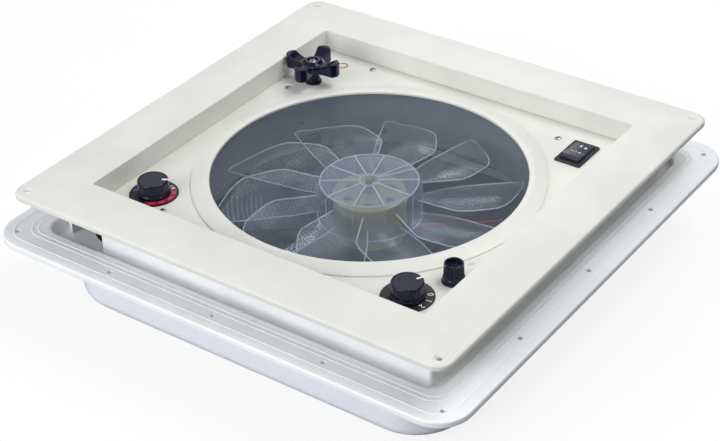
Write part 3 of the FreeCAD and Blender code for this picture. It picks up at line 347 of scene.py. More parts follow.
def moulded(name, colour, rough, grain, tint=0.03, **values):
    """Injection moulded plastic: a faint cloudiness, a fine spark grain and a very shallow wave."""
    nodes = Nodes(name)
    deep = tuple(c * (1 - tint) for c in colour[:3]) + (1,)
    pale = tuple(min(1, c * (1 + tint)) for c in colour[:3]) + (1,)
    nodes.link(nodes.ramp(nodes.noise(24), (0.35, deep), (0.65, pale)), nodes.shader.inputs["Base Color"])
    nodes.link(nodes.between(nodes.noise(160, 4), rough - 0.06, rough + 0.06),
               nodes.shader.inputs["Roughness"])
    fine = nodes.bump(nodes.noise(1500, 2), grain * 0.25, 0.08)
    nodes.link(nodes.bump(nodes.noise(38, 1), 0.1, 0.2, fine), nodes.shader.inputs["Normal"])
    nodes.set(**values)
    return nodes.material


def metal(name, colour, other, rough, patch=90, shine=1.0):
    """Plated or machined metal: patches of a second tint and fine drawn lines."""
    nodes = Nodes(name)
    nodes.link(nodes.ramp(nodes.noise(patch, 4), (0.38, colour), (0.62, other)),
               nodes.shader.inputs["Base Color"])
    lines = nodes.noise(420, 3, (1, 1, 12))
    nodes.link(nodes.between(lines, rough - 0.08, rough + 0.12), nodes.shader.inputs["Roughness"])
    nodes.link(nodes.bump(lines, 0.2, 0.05), nodes.shader.inputs["Normal"])
    nodes.set(Metallic=shine)
    return nodes.material


def clear(name, tint, haze, gloss=1.0, lines=0.0):
    """Thin clear plastic: a share that grows towards grazing views is mirrored, the rest goes through.

    Haze is the least share and gloss is how much of it is mirrored. Lines is the share of the pale lines,
    which are partly mould lines and partly painted reflection; they run round the Z axis, 4 mm apart, and
    come and go in patches.
    """
    nodes = Nodes(name)
    nodes.set(Roughness=0.07, Metallic=gloss)
    nodes.link(nodes.ramp(nodes.noise(40), (0.3, tint), (0.7, linear(226, 233, 246))),
               nodes.shader.inputs["Base Color"])
    layer = nodes.tree.nodes.new("ShaderNodeLayerWeight")
    layer.inputs["Blend"].default_value = 0.5
    ripple = nodes.bump(nodes.noise(60, 2), 0.5, 0.6)
    nodes.link(ripple, layer.inputs["Normal"])
    nodes.link(ripple, nodes.shader.inputs["Normal"])
    grazing = nodes.tree.nodes.new("ShaderNodeMath")
    grazing.operation = "POWER"
    grazing.inputs[1].default_value = 4
    nodes.link(layer.outputs["Facing"], grazing.inputs[0])
    share = nodes.tree.nodes.new("ShaderNodeMapRange")
    share.inputs["To Min"].default_value = haze
    nodes.link(grazing.outputs["Value"], share.inputs["Value"])
    if lines:
        # Pale rings in patches: partly mould lines and partly painted reflection.
        rings = nodes.tree.nodes.new("ShaderNodeTexWave")
        rings.wave_type, rings.rings_direction = "RINGS", "Z"
        rings.inputs["Scale"].default_value = 78
        rings.inputs["Distortion"].default_value = 0.8
        nodes.link(nodes.place, rings.inputs["Vector"])
        patches = nodes.between(nodes.noise(22, 3), 0, 1, 0.46, 0.66)
        drawn = nodes.tree.nodes.new("ShaderNodeMath")
        drawn.operation = "MULTIPLY"
        nodes.link(rings.outputs["Fac"], drawn.inputs[0])
        nodes.link(patches, drawn.inputs[1])
        least = nodes.tree.nodes.new("ShaderNodeMath")
        least.operation = "MULTIPLY_ADD"
        least.inputs[1].default_value, least.inputs[2].default_value = lines, haze
        nodes.link(drawn.outputs["Value"], least.inputs[0])
        nodes.link(least.outputs["Value"], share.inputs["To Min"])
    nodes.link(share.outputs["Result"], nodes.shader.inputs["Alpha"])
    return nodes.material


IVORY = moulded("ivory_trim", linear(220, 219, 213), 0.42, 0.6)
SHELL = moulded("shell_white", linear(239, 241, 242), 0.34, 0.3)
LID_WHITE = moulded("lid_white", linear(232, 235, 243), 0.3, 0.2, 0.01)
# Dark blue grey for the inside of the white lid: painted shade of the closed lid's unlit hollow.
LID_PAINTED_SHADE = moulded("lid_painted_shade_grey", linear(52, 64, 92), 0.35, 0.3)
# Grey for the duct, which is white plastic: painted shade of the deep duct under the screen.
DUCT_PAINTED_SHADE = moulded("duct_grey", linear(160, 167, 180), 0.4, 0.4)
NYLON = moulded("black_nylon", linear(24, 25, 29), 0.5, 0.8, 0.12)
KNOB = moulded("knob_black", linear(20, 22, 38), 0.25, 0.4, 0.1, Specular_Tint=(0.7, 0.72, 1, 1))
CRANK_BLACK = moulded("crank_black", linear(12, 12, 30), 0.1, 0.1, 0.1, Specular_Tint=(0.6, 0.62, 1, 1))
DIAL = moulded("dial_black", linear(7, 7, 9), 0.4, 0.2, 0.1)
BUTTON = moulded("rocker_black", linear(38, 41, 56), 0.22, 0.5, 0.1)
RUBBER = moulded("seal_rubber", linear(38, 38, 40), 0.65, 1.0, 0.15)
NYLON_WHITE = moulded("nylon_white", linear(232, 232, 226), 0.4, 0.4)
WHITE_PRINT = moulded("white_print", linear(240, 240, 240), 0.4, 0.2)
RED_PRINT = moulded("red_print", linear(142, 18, 44), 0.4, 0.2, 0.12)
PALE_RED_PRINT = moulded("pale_red_print", linear(200, 58, 82), 0.4, 0.2, 0.12)
BLUE_PRINT = moulded("blue_print", linear(70, 90, 140), 0.4, 0.2, 0.1)
# Grey for the printed marks, and as painted shade on the thermostat's body.
GREY_PRINT_AND_PAINTED_SHADE = moulded("grey_print_and_painted_shade", linear(150, 150, 158), 0.5, 0.2, 0.1)
RED_WIRE = moulded("red_wire", linear(170, 24, 30), 0.35, 0.2, 0.08)
BLACK_WIRE = moulded("black_wire", linear(24, 24, 26), 0.35, 0.2, 0.08)
FERRITE = moulded("ferrite", linear(62, 62, 66), 0.6, 1.0, 0.2)
SCREEN_WIRE = moulded("screen_wire", linear(118, 125, 138), 0.4, 0.2, 0.1)
STEEL = metal("steel", linear(190, 190, 192), linear(165, 166, 170), 0.25)
ZINC = metal("zinc_steel", linear(180, 183, 188), linear(150, 156, 168), 0.35)
YELLOW_ZINC = metal("yellow_zinc", linear(255, 240, 150), linear(206, 236, 180), 0.4, patch=60, shine=0.3)
GREY_STEEL = metal("grey_steel", linear(86, 94, 110), linear(66, 72, 88), 0.4)
BRASS = metal("brass", linear(214, 176, 98), linear(190, 150, 78), 0.3)
CORE_IRON = metal("core_iron", linear(120, 112, 104), linear(184, 112, 66), 0.4)
CLEAR_BLADE = clear("clear_blade", linear(206, 219, 243), 0.06, 0.75, 0.3)
CLEAR_HUB = clear("clear_hub", linear(214, 226, 244), 0.12, 0.6)
FROSTED = moulded("frosted_face", linear(190, 204, 236), 0.3, 0.2, Alpha=0.22)
# Pale, nearly opaque clear plastic for the hub's ribs and the blade beads: a painted highlight on their
# edges.
CLEAR_EDGE_PAINTED_HIGHLIGHT = moulded("clear_edge_painted_highlight", linear(232, 240, 252), 0.12, 0.1, Alpha=0.8)
GLASS = clear("fuse_glass", linear(226, 236, 236), 0.05)

FINISH_OF_SLOT = {
    "white_shell": SHELL, "ivory_trim": IVORY, "screen_wire": SCREEN_WIRE, "duct_grey": DUCT_PAINTED_SHADE,
    "clear_plastic": CLEAR_HUB, "black_nylon": NYLON, "black_gloss": KNOB, "black_dial": DIAL,
    "steel": STEEL, "zinc_steel": ZINC, "yellow_zinc": YELLOW_ZINC, "grey_steel": GREY_STEEL,
    "brass": BRASS, "fuse_glass": GLASS, "ferrite": FERRITE, "core_iron": CORE_IRON,
    "white_nylon": NYLON_WHITE, "seal_rubber": RUBBER, "red_wire": RED_WIRE,
    "black_wire": BLACK_WIRE, "red_print": RED_PRINT,
}


def finish_cad_nodes():
    """The CAD nodes get the procedural finish of their slot, apart from two.

    The thermostat's body is lighter than its slot: its mid grey is painted shade in the neck's notch. The
    fan's collar is as clear as the hub.
    """
    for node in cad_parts.values():
        for index, old in enumerate(node.data.materials):
            node.data.materials[index] = FINISH_OF_SLOT[old.name.split(".")[0]]
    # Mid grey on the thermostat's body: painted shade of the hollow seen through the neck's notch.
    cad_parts["thermostat_body"].data.materials[0] = GREY_PRINT_AND_PAINTED_SHADE
    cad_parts["fan_collar"].data.materials[0] = CLEAR_HUB


# ---------------------------------------------------------------------------------- base shells
def flange_holes():
    """Sixteen hole places: the corners, the middles of the sides and one each side of those."""
    corner, side, pitch = FLANGE_HALF - 17, FLANGE_HALF - 15, 103.5
    places = [(x * corner, y * corner) for x in (-1, 1) for y in (-1, 1)]
    for across in (-side, side):
        for along in (-pitch, 0, pitch):
            places += [(across, along), (along, across)]
    return places


def countersunk(radius, sink, top, depth, places):
    """Cutters for holes with a sunk rim."""
    one = lathe([(0, top - depth, 0), (radius, top - depth, 0), (radius, top - sink, 0),
                 (radius + sink, top, 0), (radius + sink, top + 4, 0), (0, top + 4, 0)], 20)
    return together(one.at(x, y) for x, y in places)


def ridge(half, corner):
    """The outline of one thin raised line, from its outer foot to its inner foot."""
    steps = ((0.9, 0), (0.45, 0.34), (-0.45, 0.34), (-0.9, 0))
    return [(half + out, FLANGE_TOP + rise, 0, corner + out) for out, rise in steps]


def make_flange():
    """Roof flange, its sunk step and the square neck, in one moulding."""
    outer, lip = FLANGE_HALF, FLANGE_TOP - 5.5
    neck, neck_inside, inner_lip, underside, skirt = 178.5, 176, 172.5, 169.5, 192.5
    profile = [(outer - 2.5, lip, 0, 25.5), (outer, lip, 0.4, 28), (outer, FLANGE_TOP, 1.6, 28)]
    profile += ridge(212.5, 18.5) + ridge(201.5, 16) + ridge(197, 13)
    profile += [(190, FLANGE_TOP, 2.5, 15), (189, STEP_FLOOR, 4, 14), (neck, STEP_FLOOR, 1.5, 3.5),
                (neck, NECK_TOP, 0.3, 3), (neck_inside, NECK_TOP, 0.3, 0.8),
                (neck_inside, PANEL_BOTTOM, 0, 0.8), (inner_lip, PANEL_BOTTOM, 0, 3),
                (inner_lip, PANEL_BOTTOM - 2.5, 0, 3), (neck_inside, PANEL_BOTTOM - 2.5, 0, 0.8),
                (neck_inside, STEP_FLOOR, 0, 0.8), (underside, STEP_FLOOR, 0, 27.5),
                (underside, FLANGE_BOTTOM, 0, 27.5), (skirt, FLANGE_BOTTOM, 3, 17.5),
                (skirt, FLANGE_TOP - 3, 0, 17.5), (outer - 2.5, FLANGE_TOP - 3, 0, 25.5)]
    holes = countersunk(2.0, 0.3, FLANGE_TOP, 9, flange_holes())
    notch_top = NECK_TOP - 5
    holes += box(-179.5, -137, -181, -172.6, STEP_FLOOR + 0.1, notch_top)
    holes += box(172.6, 181, 145, 179.5, STEP_FLOOR + 0.1, notch_top)
    piece("roof_flange_moulding", square_ring(profile), SHELL, "base",
          ["roof_flange"], cut=holes)


def make_garnish():
    """The flat ceiling frame, its folded outer edge and the collar down to the panel."""
    outer, opening = GARNISH_HALF, 159.5
    profile = [(outer - 2.5, TOP - 5, 0, 10.5), (outer, TOP - 5, 0.5, 13), (outer, TOP, 2.0, 13),
               (opening, TOP, 0.9, 1.8), (opening, COLLAR_BOTTOM, 0, 1.6),
               (opening + 2.5, COLLAR_BOTTOM, 0, 4), (opening + 2.5, TOP - 2.5, 0, 4),
               (outer - 2.5, TOP - 2.5, 0, 10.5)]
    corner = outer - 11
    holes = countersunk(2.2, 1.8, TOP, 6, [(x * corner, y * corner) for x in (-1, 1) for y in (-1, 1)])
    piece("garnish_moulding", square_ring(profile), IVORY, "base",
          ["garnish_frame"], cut=holes)


def make_screen():
    """The sloping ring and the insect screen it holds: two layers of straight wires that cross."""
    bore = MESH_RADIUS - 2.3
    profile = [(RING_OUTER, PANEL_TOP, 0), (RING_OUTER, PANEL_TOP + 1.2, 0.5),
               (RING_OUTER - 1.6, PANEL_TOP + 1.7, 0.6), (bore + 5, RING_TOP, 2), (bore, RING_TOP, 0.9),
               (bore, MESH_LOW + 0.6, 0), (bore + 2.6, MESH_LOW + 0.6, 0), (bore + 2.6, PANEL_TOP, 0)]
    piece("screen_ring_moulding", lathe(profile, 192), IVORY, "base", ["screen_ring"])
    pitch, wire = 1.8, 0.1
    reach = MESH_RADIUS - 0.2
    wires = []
    for step in range(int(-reach / pitch), int(reach / pitch) + 1):
        across = step * pitch
        along = math.sqrt(reach ** 2 - across ** 2)
        wires.append(box(-along, along, across - wire, across + wire, MESH_LOW, MESH_LOW + 2 * wire))
        wires.append(box(across - wire, across + wire, -along, along, MESH_LOW + 0.2,
                         MESH_LOW + 0.2 + 2 * wire))
    piece("insect_screen", together(wires), SCREEN_WIRE, "base", ["screen_mesh"])


def make_duct():
    """The round air duct under the screen; its grey and two dark patches on its wall are painted shade."""
    bore, wall = 146, 2.5
    profile = [(bore, DUCT_BOTTOM, 0.5), (bore + 6, DUCT_BOTTOM, 0), (bore + 6, DUCT_BOTTOM + 2, 0),
               (bore + wall, DUCT_BOTTOM + 2, 0), (bore + wall, PANEL_BOTTOM - 2, 0),
               (bore + 10, PANEL_BOTTOM - 2, 0), (bore + 10, PANEL_BOTTOM, 0), (bore, PANEL_BOTTOM, 0)]
    slot = box(140, 158, -6, 6, DUCT_BOTTOM - 1, DUCT_BOTTOM + 8).at(turn=40)
    # The duct's grey is painted shade.
    piece("duct_moulding", lathe(profile, 192), DUCT_PAINTED_SHADE, "base", ["fan_duct"], cut=slot)
    # Two thin black plates on the duct wall: painted shade standing for two dark openings in it.
    shade_patches = [ring_part(bore - 3, bore + 1, turn - width / 2, turn + width / 2, low, high)
             for turn, width, low, high in ((147, 8, 35.6, 45), (120.2, 3, 40.4, 44.5))]
    piece("duct_painted_shade_patches", together(shade_patches), NYLON, "base", bevel=0.5)
    rivet = lathe([(0, 0, 0), (2.6, 0, 0), (2.2, 1.2, 0.8), (0, 1.5, 0)], 24)
    inward = Matrix.Translation((bore + 0.2, 0, 59.3)) @ Matrix.Rotation(math.radians(-90), 4, "Y")
    rivets = [rivet.through(inward).at(turn=turn) for turn in (149.7, 239.7, 329.7, 59.7)]
    piece("duct_rivets", together(rivets), STEEL, "base")


def make_coaming():
    profile = [(COAMING_HALF, FLANGE_BOTTOM, 0, 30), (COAMING_HALF - 2.5, FLANGE_BOTTOM, 0, 27.5),
               (COAMING_HALF - 2.5, 22, 0.9, 27.5), (COAMING_HALF, 22, 0.9, 30)]
    piece("coaming_moulding", square_ring(profile), SHELL, "base", ["weather_coaming"])


# ------------------------------------------------------------------------------------------ lid
def make_lid():
    """The shallow outdoor lid with a big soft edge, its inner ribs and the seat of its seal."""
    outer, corner, wall = LID_HALF, 42, 2.5
    rows = [(20, wall, 0, 8), (outer - 12.2, wall, 0, 30), (outer - wall, 12.2, 0, 39.5),
            (outer - wall, LID_RIM, 0, 39.5), (outer, LID_RIM, 0.5, corner), (outer, 0, 12, corner),
            (20, 0, 0, 8)]
    rings = [square_outline(half, bend, z, steps=16) for half, z, bend in soften(rows, 6)]
    piece("lid_moulding", loft(rings), LID_WHITE, "lid", ["lid_shell"], sharp=40)
    # The inner ribs and a thin sheet on the lid's floor carry the painted shade colour.
    ribs = [box(x - 1.3, x + 1.3, -150, 150, wall, 7) for x in range(-120, 121, 40)]
    piece("lid_ribs", together(ribs), LID_PAINTED_SHADE, "lid", bevel=0.5)
    shade_sheet = loft([square_outline(166, 24.5, z) for z in (wall, wall + 0.4)])
    piece("lid_painted_shade_sheet", shade_sheet, LID_PAINTED_SHADE, "lid")
    seat = [(177, wall, 0, 35), (177, 10, 0.8, 35), (166.5, 10, 0.8, 25), (166.5, wall, 0, 25)]
    piece("lid_seal_seat", square_ring(seat), LID_WHITE, "lid")
    seal_top = span("lid_seal")[1].z
    bead = [(175.5, 10, 0, 33.5), (175.5, seal_top - 3, 2.5, 33.5), (173, seal_top, 1.5, 31),
            (170.5, seal_top, 1.5, 28.5), (168, seal_top - 3, 2.5, 26), (168, 10, 0, 26)]
    piece("lid_seal_strip", square_ring(bead), RUBBER, "lid", ["lid_seal"])


# ---------------------------------------------------------------------------------- fan and motor
BLADES = 10
BLADE_START, RIB_START = 30, 34.5
# Distance along the blade from the axis, its leading and trailing sides, its pitch and its thickness.
BLADE_ROWS = ((41.6, -15.4, 15.4, 24, 2.2), (50, -18.6, 19, 19.5, 2.1), (58, -22, 22.5, 16, 2),
              (66, -25.3, 25.2, 13.8, 1.95), (74, -28.3, 27.5, 12, 1.9), (83, -27.3, 29.9, 11.4, 1.8),
              (92, -24, 32, 11, 1.7), (100, -21, 33.8, 10.5, 1.65), (108, -17, 35.5, 10, 1.6),
              (113, -11, 36.6, 10, 1.55), (118, -2, 37.5, 10, 1.5), (123, 13, 38.4, 10, 1.4),
              (127.5, 30, 39, 10, 1.3))
ROW_STEPS = 12


def blade_row(distance, leading, trailing, pitch, thick):
    """A closed arched section across the blade; its leading side stands higher."""
    slope, width = math.tan(math.radians(pitch)), trailing - leading
    upper, lower = [], []
    for step in range(ROW_STEPS + 1):
        share = step / ROW_STEPS
        across = leading + width * share
        arch = 1 - (2 * share - 1) ** 2
        middle_z = HUB_TOP - 15 + 0.05 * width * arch - across * slope
        half = thick / 2 * math.sqrt(max(0.06, 1 - (2 * share - 1) ** 8))
        upper.append((distance, across, middle_z + half))
        lower.append((distance, across, middle_z - half))
    return upper + lower[::-1]


def bead(points, radius, steps=8):
    """A thin round bead along a list of points."""
    rings = []
    for index, point in enumerate(points):
        before = points[max(index - 1, 0)]
        after = points[min(index + 1, len(points) - 1)]
        along = (after - before).normalized()
        side = along.cross(Vector((0, 0, 1))).normalized()
        rise = side.cross(along)
        rings.append([point + radius * (math.cos(a) * side + math.sin(a) * rise)
                      for a in (2 * math.pi * k / steps for k in range(steps))])
    return loft(rings)


def blade_edge():
    """The bead that runs out along the leading side and round the swept tip to the trailing side."""
    rows = [blade_row(*row) for row in BLADE_ROWS]
    lead = [(Vector(row[0]) + Vector(row[-1])) / 2 for row in rows]
    tip = [Vector(rows[-1][k]) for k in range(1, ROW_STEPS)]
    trail = [(Vector(row[ROW_STEPS]) + Vector(row[ROW_STEPS + 1])) / 2 for row in rows]
    return bead(lead + tip + trail[::-1], 0.6)


def make_rotor():
    """The clear moulded cup with ribs on its face, and its ten twisted blades with beaded edges."""
    rim = 44
    cup = lathe([(3.05, HUB_TOP, 0), (rim, HUB_TOP, 2.2), (rim, HUB_BOTTOM + 2, 0.5),
                 (rim - 1.8, HUB_BOTTOM + 2, 0.5), (rim - 1.8, HUB_TOP - 2, 1), (7, HUB_TOP - 2, 0.5),
                 (7, HUB_TOP - 10, 0), (3.05, HUB_TOP - 10, 0)], 96)
    piece("rotor_hub", cup, CLEAR_HUB, "fan", ["fan_rotor"])
    face = lathe([(7.5, HUB_TOP, 0), (rim - 3.5, HUB_TOP, 0), (rim - 3.5, HUB_TOP + 0.15, 0),
                  (7.5, HUB_TOP + 0.15, 0)], 96)
    piece("rotor_hub_face", face, FROSTED, "fan")
    rib = box(9, rim - 3.5, -0.7, 0.7, HUB_TOP, HUB_TOP + 1)
    ribs = [rib.at(turn=RIB_START + k * 360 / BLADES) for k in range(BLADES)]
    ribs.append(rib.at(turn=RIB_START + 24))
    hoops = [lathe([(r, z, 0), (r + 1.2, z, 0), (r + 1.2, z + 1, 0.4), (r, z + 1, 0.4)], 96)
             for r, z in ((7.6, HUB_TOP), (rim - 3.4, HUB_TOP), (rim - 0.6, HUB_BOTTOM + 2))]
    upright = box(rim - 0.3, rim + 0.3, -0.35, 0.35, HUB_BOTTOM + 3, HUB_TOP - 2)
    uprights = [upright.at(turn=RIB_START + k * 360 / BLADES) for k in range(BLADES)]
    # The hub's ribs, hoops and uprights are pale as a painted highlight.
    piece("rotor_hub_ribs", together(ribs + hoops + uprights), CLEAR_EDGE_PAINTED_HIGHLIGHT, "fan")
    blade = loft([blade_row(*row) for row in BLADE_ROWS])
    edge = blade_edge()
    for index in range(BLADES):
        turn = BLADE_START + index * 360 / BLADES
        piece("rotor_blade_%02d" % (index + 1), blade.at(turn=turn), CLEAR_BLADE, "fan")
        # Each blade's bead is pale as a painted highlight along its edge.
        piece("rotor_blade_edge_%02d" % (index + 1), edge.at(turn=turn), CLEAR_EDGE_PAINTED_HIGHLIGHT, "fan")


# ------------------------------------------------------------------------------------ controls
def pan_screw(radius, rise):
    """A pan-head screw's head on z = 0 with a cross recess; returns the head and its cutter."""
    head = lathe([(0, 0, 0), (radius, 0, 0), (radius, rise * 0.55, 0), (radius * 0.62, rise, 0.6),
                  (0, rise, 0)], 32)
    arm, reach = radius * 0.13, radius * 0.55
    corner = [(reach, -arm), (reach, arm), (arm, arm)]
    cross = []
    for quarter in range(4):
        spin = Matrix.Rotation(math.radians(90 * quarter), 2)
        cross += [tuple(spin @ Vector(point)) for point in corner]
    return head, prism(cross, rise * 0.35, rise + 1)


def make_panel_screws():
    """Four cross-head screws in the panel."""
    places = [(-107, -137), (-145, 80), (-100, 149), (102, 135)]
    head, cutter = pan_screw(2.8, 1.2)
    for index, (x, y) in enumerate(places):
        turn = 17 + 31 * index
        stands_for = ["panel_screws"] if index == 0 else []
        piece("panel_screw_%d" % (index + 1), head.at(x, y, PANEL_TOP, turn), ZINC, "base",
              stands_for, cut=cutter.at(x, y, PANEL_TOP, turn))


def star_outline(reach, half, waist, hub):
    """The four-lobed outline of the crank knob."""
    points = []
    for quarter in range(4):
        lobe = [(hub, -waist, 3), (reach - 3.5, -half, 3.4), (reach, -half + 4.2, 2.2),
                (reach, half - 4.2, 2.2), (reach - 3.5, half, 3.4), (hub, waist, 3)]
        spin = Matrix.Rotation(math.radians(90 * quarter), 2)
        for x, y, rounding in lobe:
            turned = spin @ Vector((x, y))
            points.append((turned.x, turned.y, rounding))
    return soften(points, 5)


def make_crank():
    """The glossy four-lobed crank knob with a dish round its boss, its stem and the screw in the boss."""
    low, high = span("crank_knob")
    top, under = high.z, high.z - 12.5
    boss = top - 2
    star = prism(star_outline(26.2, 6.6, 5.2, 10.5), under, top)
    dish = lathe([(0, boss - 2, 0), (4.6, boss - 2, 0), (4.6, boss, 0), (6.8, boss, 0.6),
                  (8.6, top - 4.2, 1.5), (12, top - 4.8, 3), (17, top - 2.8, 6), (22, top, 3),
                  (24, top + 1, 0), (0, top + 1, 0)], 64)
    piece("crank_star", star.at(*CRANK, 0, 7), CRANK_BLACK, "crank", ["crank_knob"],
          cut=dish.at(*CRANK), melt=0.45, sharp=180)
    stem = lathe([(2.6, low.z, 0), (6.4, low.z, 0.6), (6.0, low.z + 3, 0.5), (5.4, low.z + 3.4, 0),
                  (5.4, under + 0.8, 0), (2.6, under + 0.8, 0)], 40)
    piece("crank_stem", stem.at(*CRANK), CRANK_BLACK, "crank")
    head, cutter = pan_screw(3.6, 1.5)
    piece("crank_screw_head", head.at(*CRANK, boss - 2, 24), ZINC, "crank",
          ["crank_screw"], cut=cutter.at(*CRANK, boss - 2, 24))


def fluted(radius, count, depth, z, width=0.32, steps=8):
    """A circle with shallow round flutes cut in it; width is half a flute's share of its pitch."""
    points = []
    for k in range(count * steps):
        share = k % steps / steps
        dip = depth * max(0, 1 - (abs(share - 0.5) / width) ** 2)
        angle = 2 * math.pi * k / (count * steps)
        points.append(((radius - dip) * math.cos(angle), (radius - dip) * math.sin(angle), z))
    return points


def make_dial_knob(prefix, node, body, centre, pointer, down_side):
    """A control knob with narrow grooves in its side and a white pointer on its face."""
    low, high = span(node)
    rim, foot, top = 12.75, 13.8, high.z - 0.25
    rings = [(foot, 0, low.z), (foot, 0, low.z + 1.8), (foot - 0.3, 0, low.z + 2.2),
             (rim + 0.4, 0, low.z + 2.6), (rim + 0.4, 0.6, low.z + 3.4), (rim + 0.1, 0.6, top - 1.8),
             (rim, 0, top - 1.1), (rim - 0.2, 0, top - 0.5), (rim - 0.8, 0, top),
             (rim - 1.5, 0, top), (rim - 1.8, 0, top - 0.35)]
    knob = loft([fluted(radius, 12, depth, z, 0.13, 16) for radius, depth, z in rings])
    piece(prefix + "_knob_body", knob.at(*centre), KNOB, body, [node])
    bar = box(7.6, rim + 0.4, -0.75, 0.75, top - 0.6, high.z)
    if down_side:
        bar += box(rim + 0.3, rim + 0.62, -0.35, 0.35, low.z + 5, high.z - 0.6)
    piece(prefix + "_pointer", bar.at(*centre, 0, pointer), WHITE_PRINT, body)


def make_dial(prefix, node, centre):
    low, high = span(node)
    radius = (high.x - low.x) / 2
    plate = lathe([(4.2, low.z, 0), (radius, low.z, 0), (radius, high.z, 0.35), (4.2, high.z, 0)], 96)
    piece(prefix + "_dial_plate", plate.at(*centre), DIAL, "base", [node])


def make_controls():
    """Both dials with their prints, and both knobs."""
    ink = 0.12
    make_dial("speed", "speed_dial", SPEED)
    make_dial_knob("speed", "speed_knob", "speed_control", SPEED, 57, True)
    for index, angle in enumerate((37.4, 10, -18)):
        mark = numeral(str(index), 6.4, ink)
        upright = mark.at(SPEED[0] + 17.4 * math.cos(math.radians(angle)),
                          SPEED[1] + 17.4 * math.sin(math.radians(angle)), DIAL_TOP, angle - 90)
        piece("speed_numeral_%d" % index, upright, WHITE_PRINT, "base")
    make_dial("thermostat", "thermostat_dial", HEAT)
    make_dial_knob("thermostat", "thermostat_knob", "thermostat_control", HEAT, 30, False)
    band = ring_part(14, 18.6, -78, 62, DIAL_TOP, DIAL_TOP + ink, 60)
    piece("thermostat_red_band", band.at(*HEAT), RED_PRINT, "base")
    steps = [(-56, 9, PALE_RED_PRINT), (-28, 9, PALE_RED_PRINT), (3, 9, PALE_RED_PRINT),
             (33, 9, PALE_RED_PRINT), (57, 3, WHITE_PRINT)]
    for index, (turn, half, print_finish) in enumerate(steps):
        pale = ring_part(15, 18.0, turn - half, turn + half, DIAL_TOP + ink, DIAL_TOP + 2 * ink, 12)
        piece("thermostat_red_step_%d" % (index + 1), pale.at(*HEAT), print_finish, "base")
    neutral = ring_part(14.6, 18, 66, 74, DIAL_TOP, DIAL_TOP + ink)
    piece("thermostat_grey_patch", neutral.at(*HEAT), GREY_PRINT_AND_PAINTED_SHADE, "base")
    cold = ring_part(14.5, 18, -168, -154, DIAL_TOP, DIAL_TOP + ink)
    piece("thermostat_blue_band", cold.at(*HEAT), BLUE_PRINT, "base")


def make_fuse():
    """The fluted fuse cap with its coin slot, and the collar it stands on."""
    foot, top, rim = PANEL_TOP + 2, span("fuse_cap")[1].z, 7.6
    rings = [(8.2, 0, foot), (8.7, 0, foot + 0.4), (8.7, 0, foot + 2.4), (8.3, 0, foot + 3),
             (8.2, 0.8, foot + 3.6), (7.8, 0.8, top - 3.4), (rim - 0.1, 0, top - 2.6),
             (rim + 0.1, 0, top - 1.2), (rim - 0.1, 0, top - 0.4), (rim - 0.6, 0, top),
             (rim - 1.1, 0, top), (rim - 1.6, 0, top - 0.5), (rim - 2, 0, top - 3.6)]
    cap = loft([fluted(radius, 16, depth, z) for radius, depth, z in rings])
    slot = box(-4.6, 4.6, -0.7, 0.7, top - 5, top - 3)
    piece("fuse_cap_moulding", cap.at(*FUSE), KNOB, "fuse_carrier", ["fuse_cap"],
          cut=slot.at(*FUSE, 0, 20))
    collar_low = span("fuse_holder")[0].z
    collar = lathe([(4.7, collar_low, 0), (7, collar_low, 0), (7, PANEL_TOP, 0),
                    (9.5, PANEL_TOP, 0), (9.5, PANEL_TOP + 1.0, 0.4), (8.9, PANEL_TOP + 1.6, 0.3),
                    (4.7, PANEL_TOP + 1.6, 0)], 64)
    piece("fuse_holder_moulding", collar.at(*FUSE), NYLON, "base", ["fuse_holder"])
    strokes = [box(0, 0.5, 0, 2.4, 0, 0.12).at(gap, 0, 0) for gap in (0, 1.6, 4.6)]
    strokes += [box(2.6, 3.8, height, height + 0.5, 0, 0.12) for height in (0, 1.9)]
    marks = together(strokes).at(*FUSE_MARKS, PANEL_TOP, 60)
    piece("fuse_marks", marks, GREY_PRINT_AND_PAINTED_SHADE, "base")


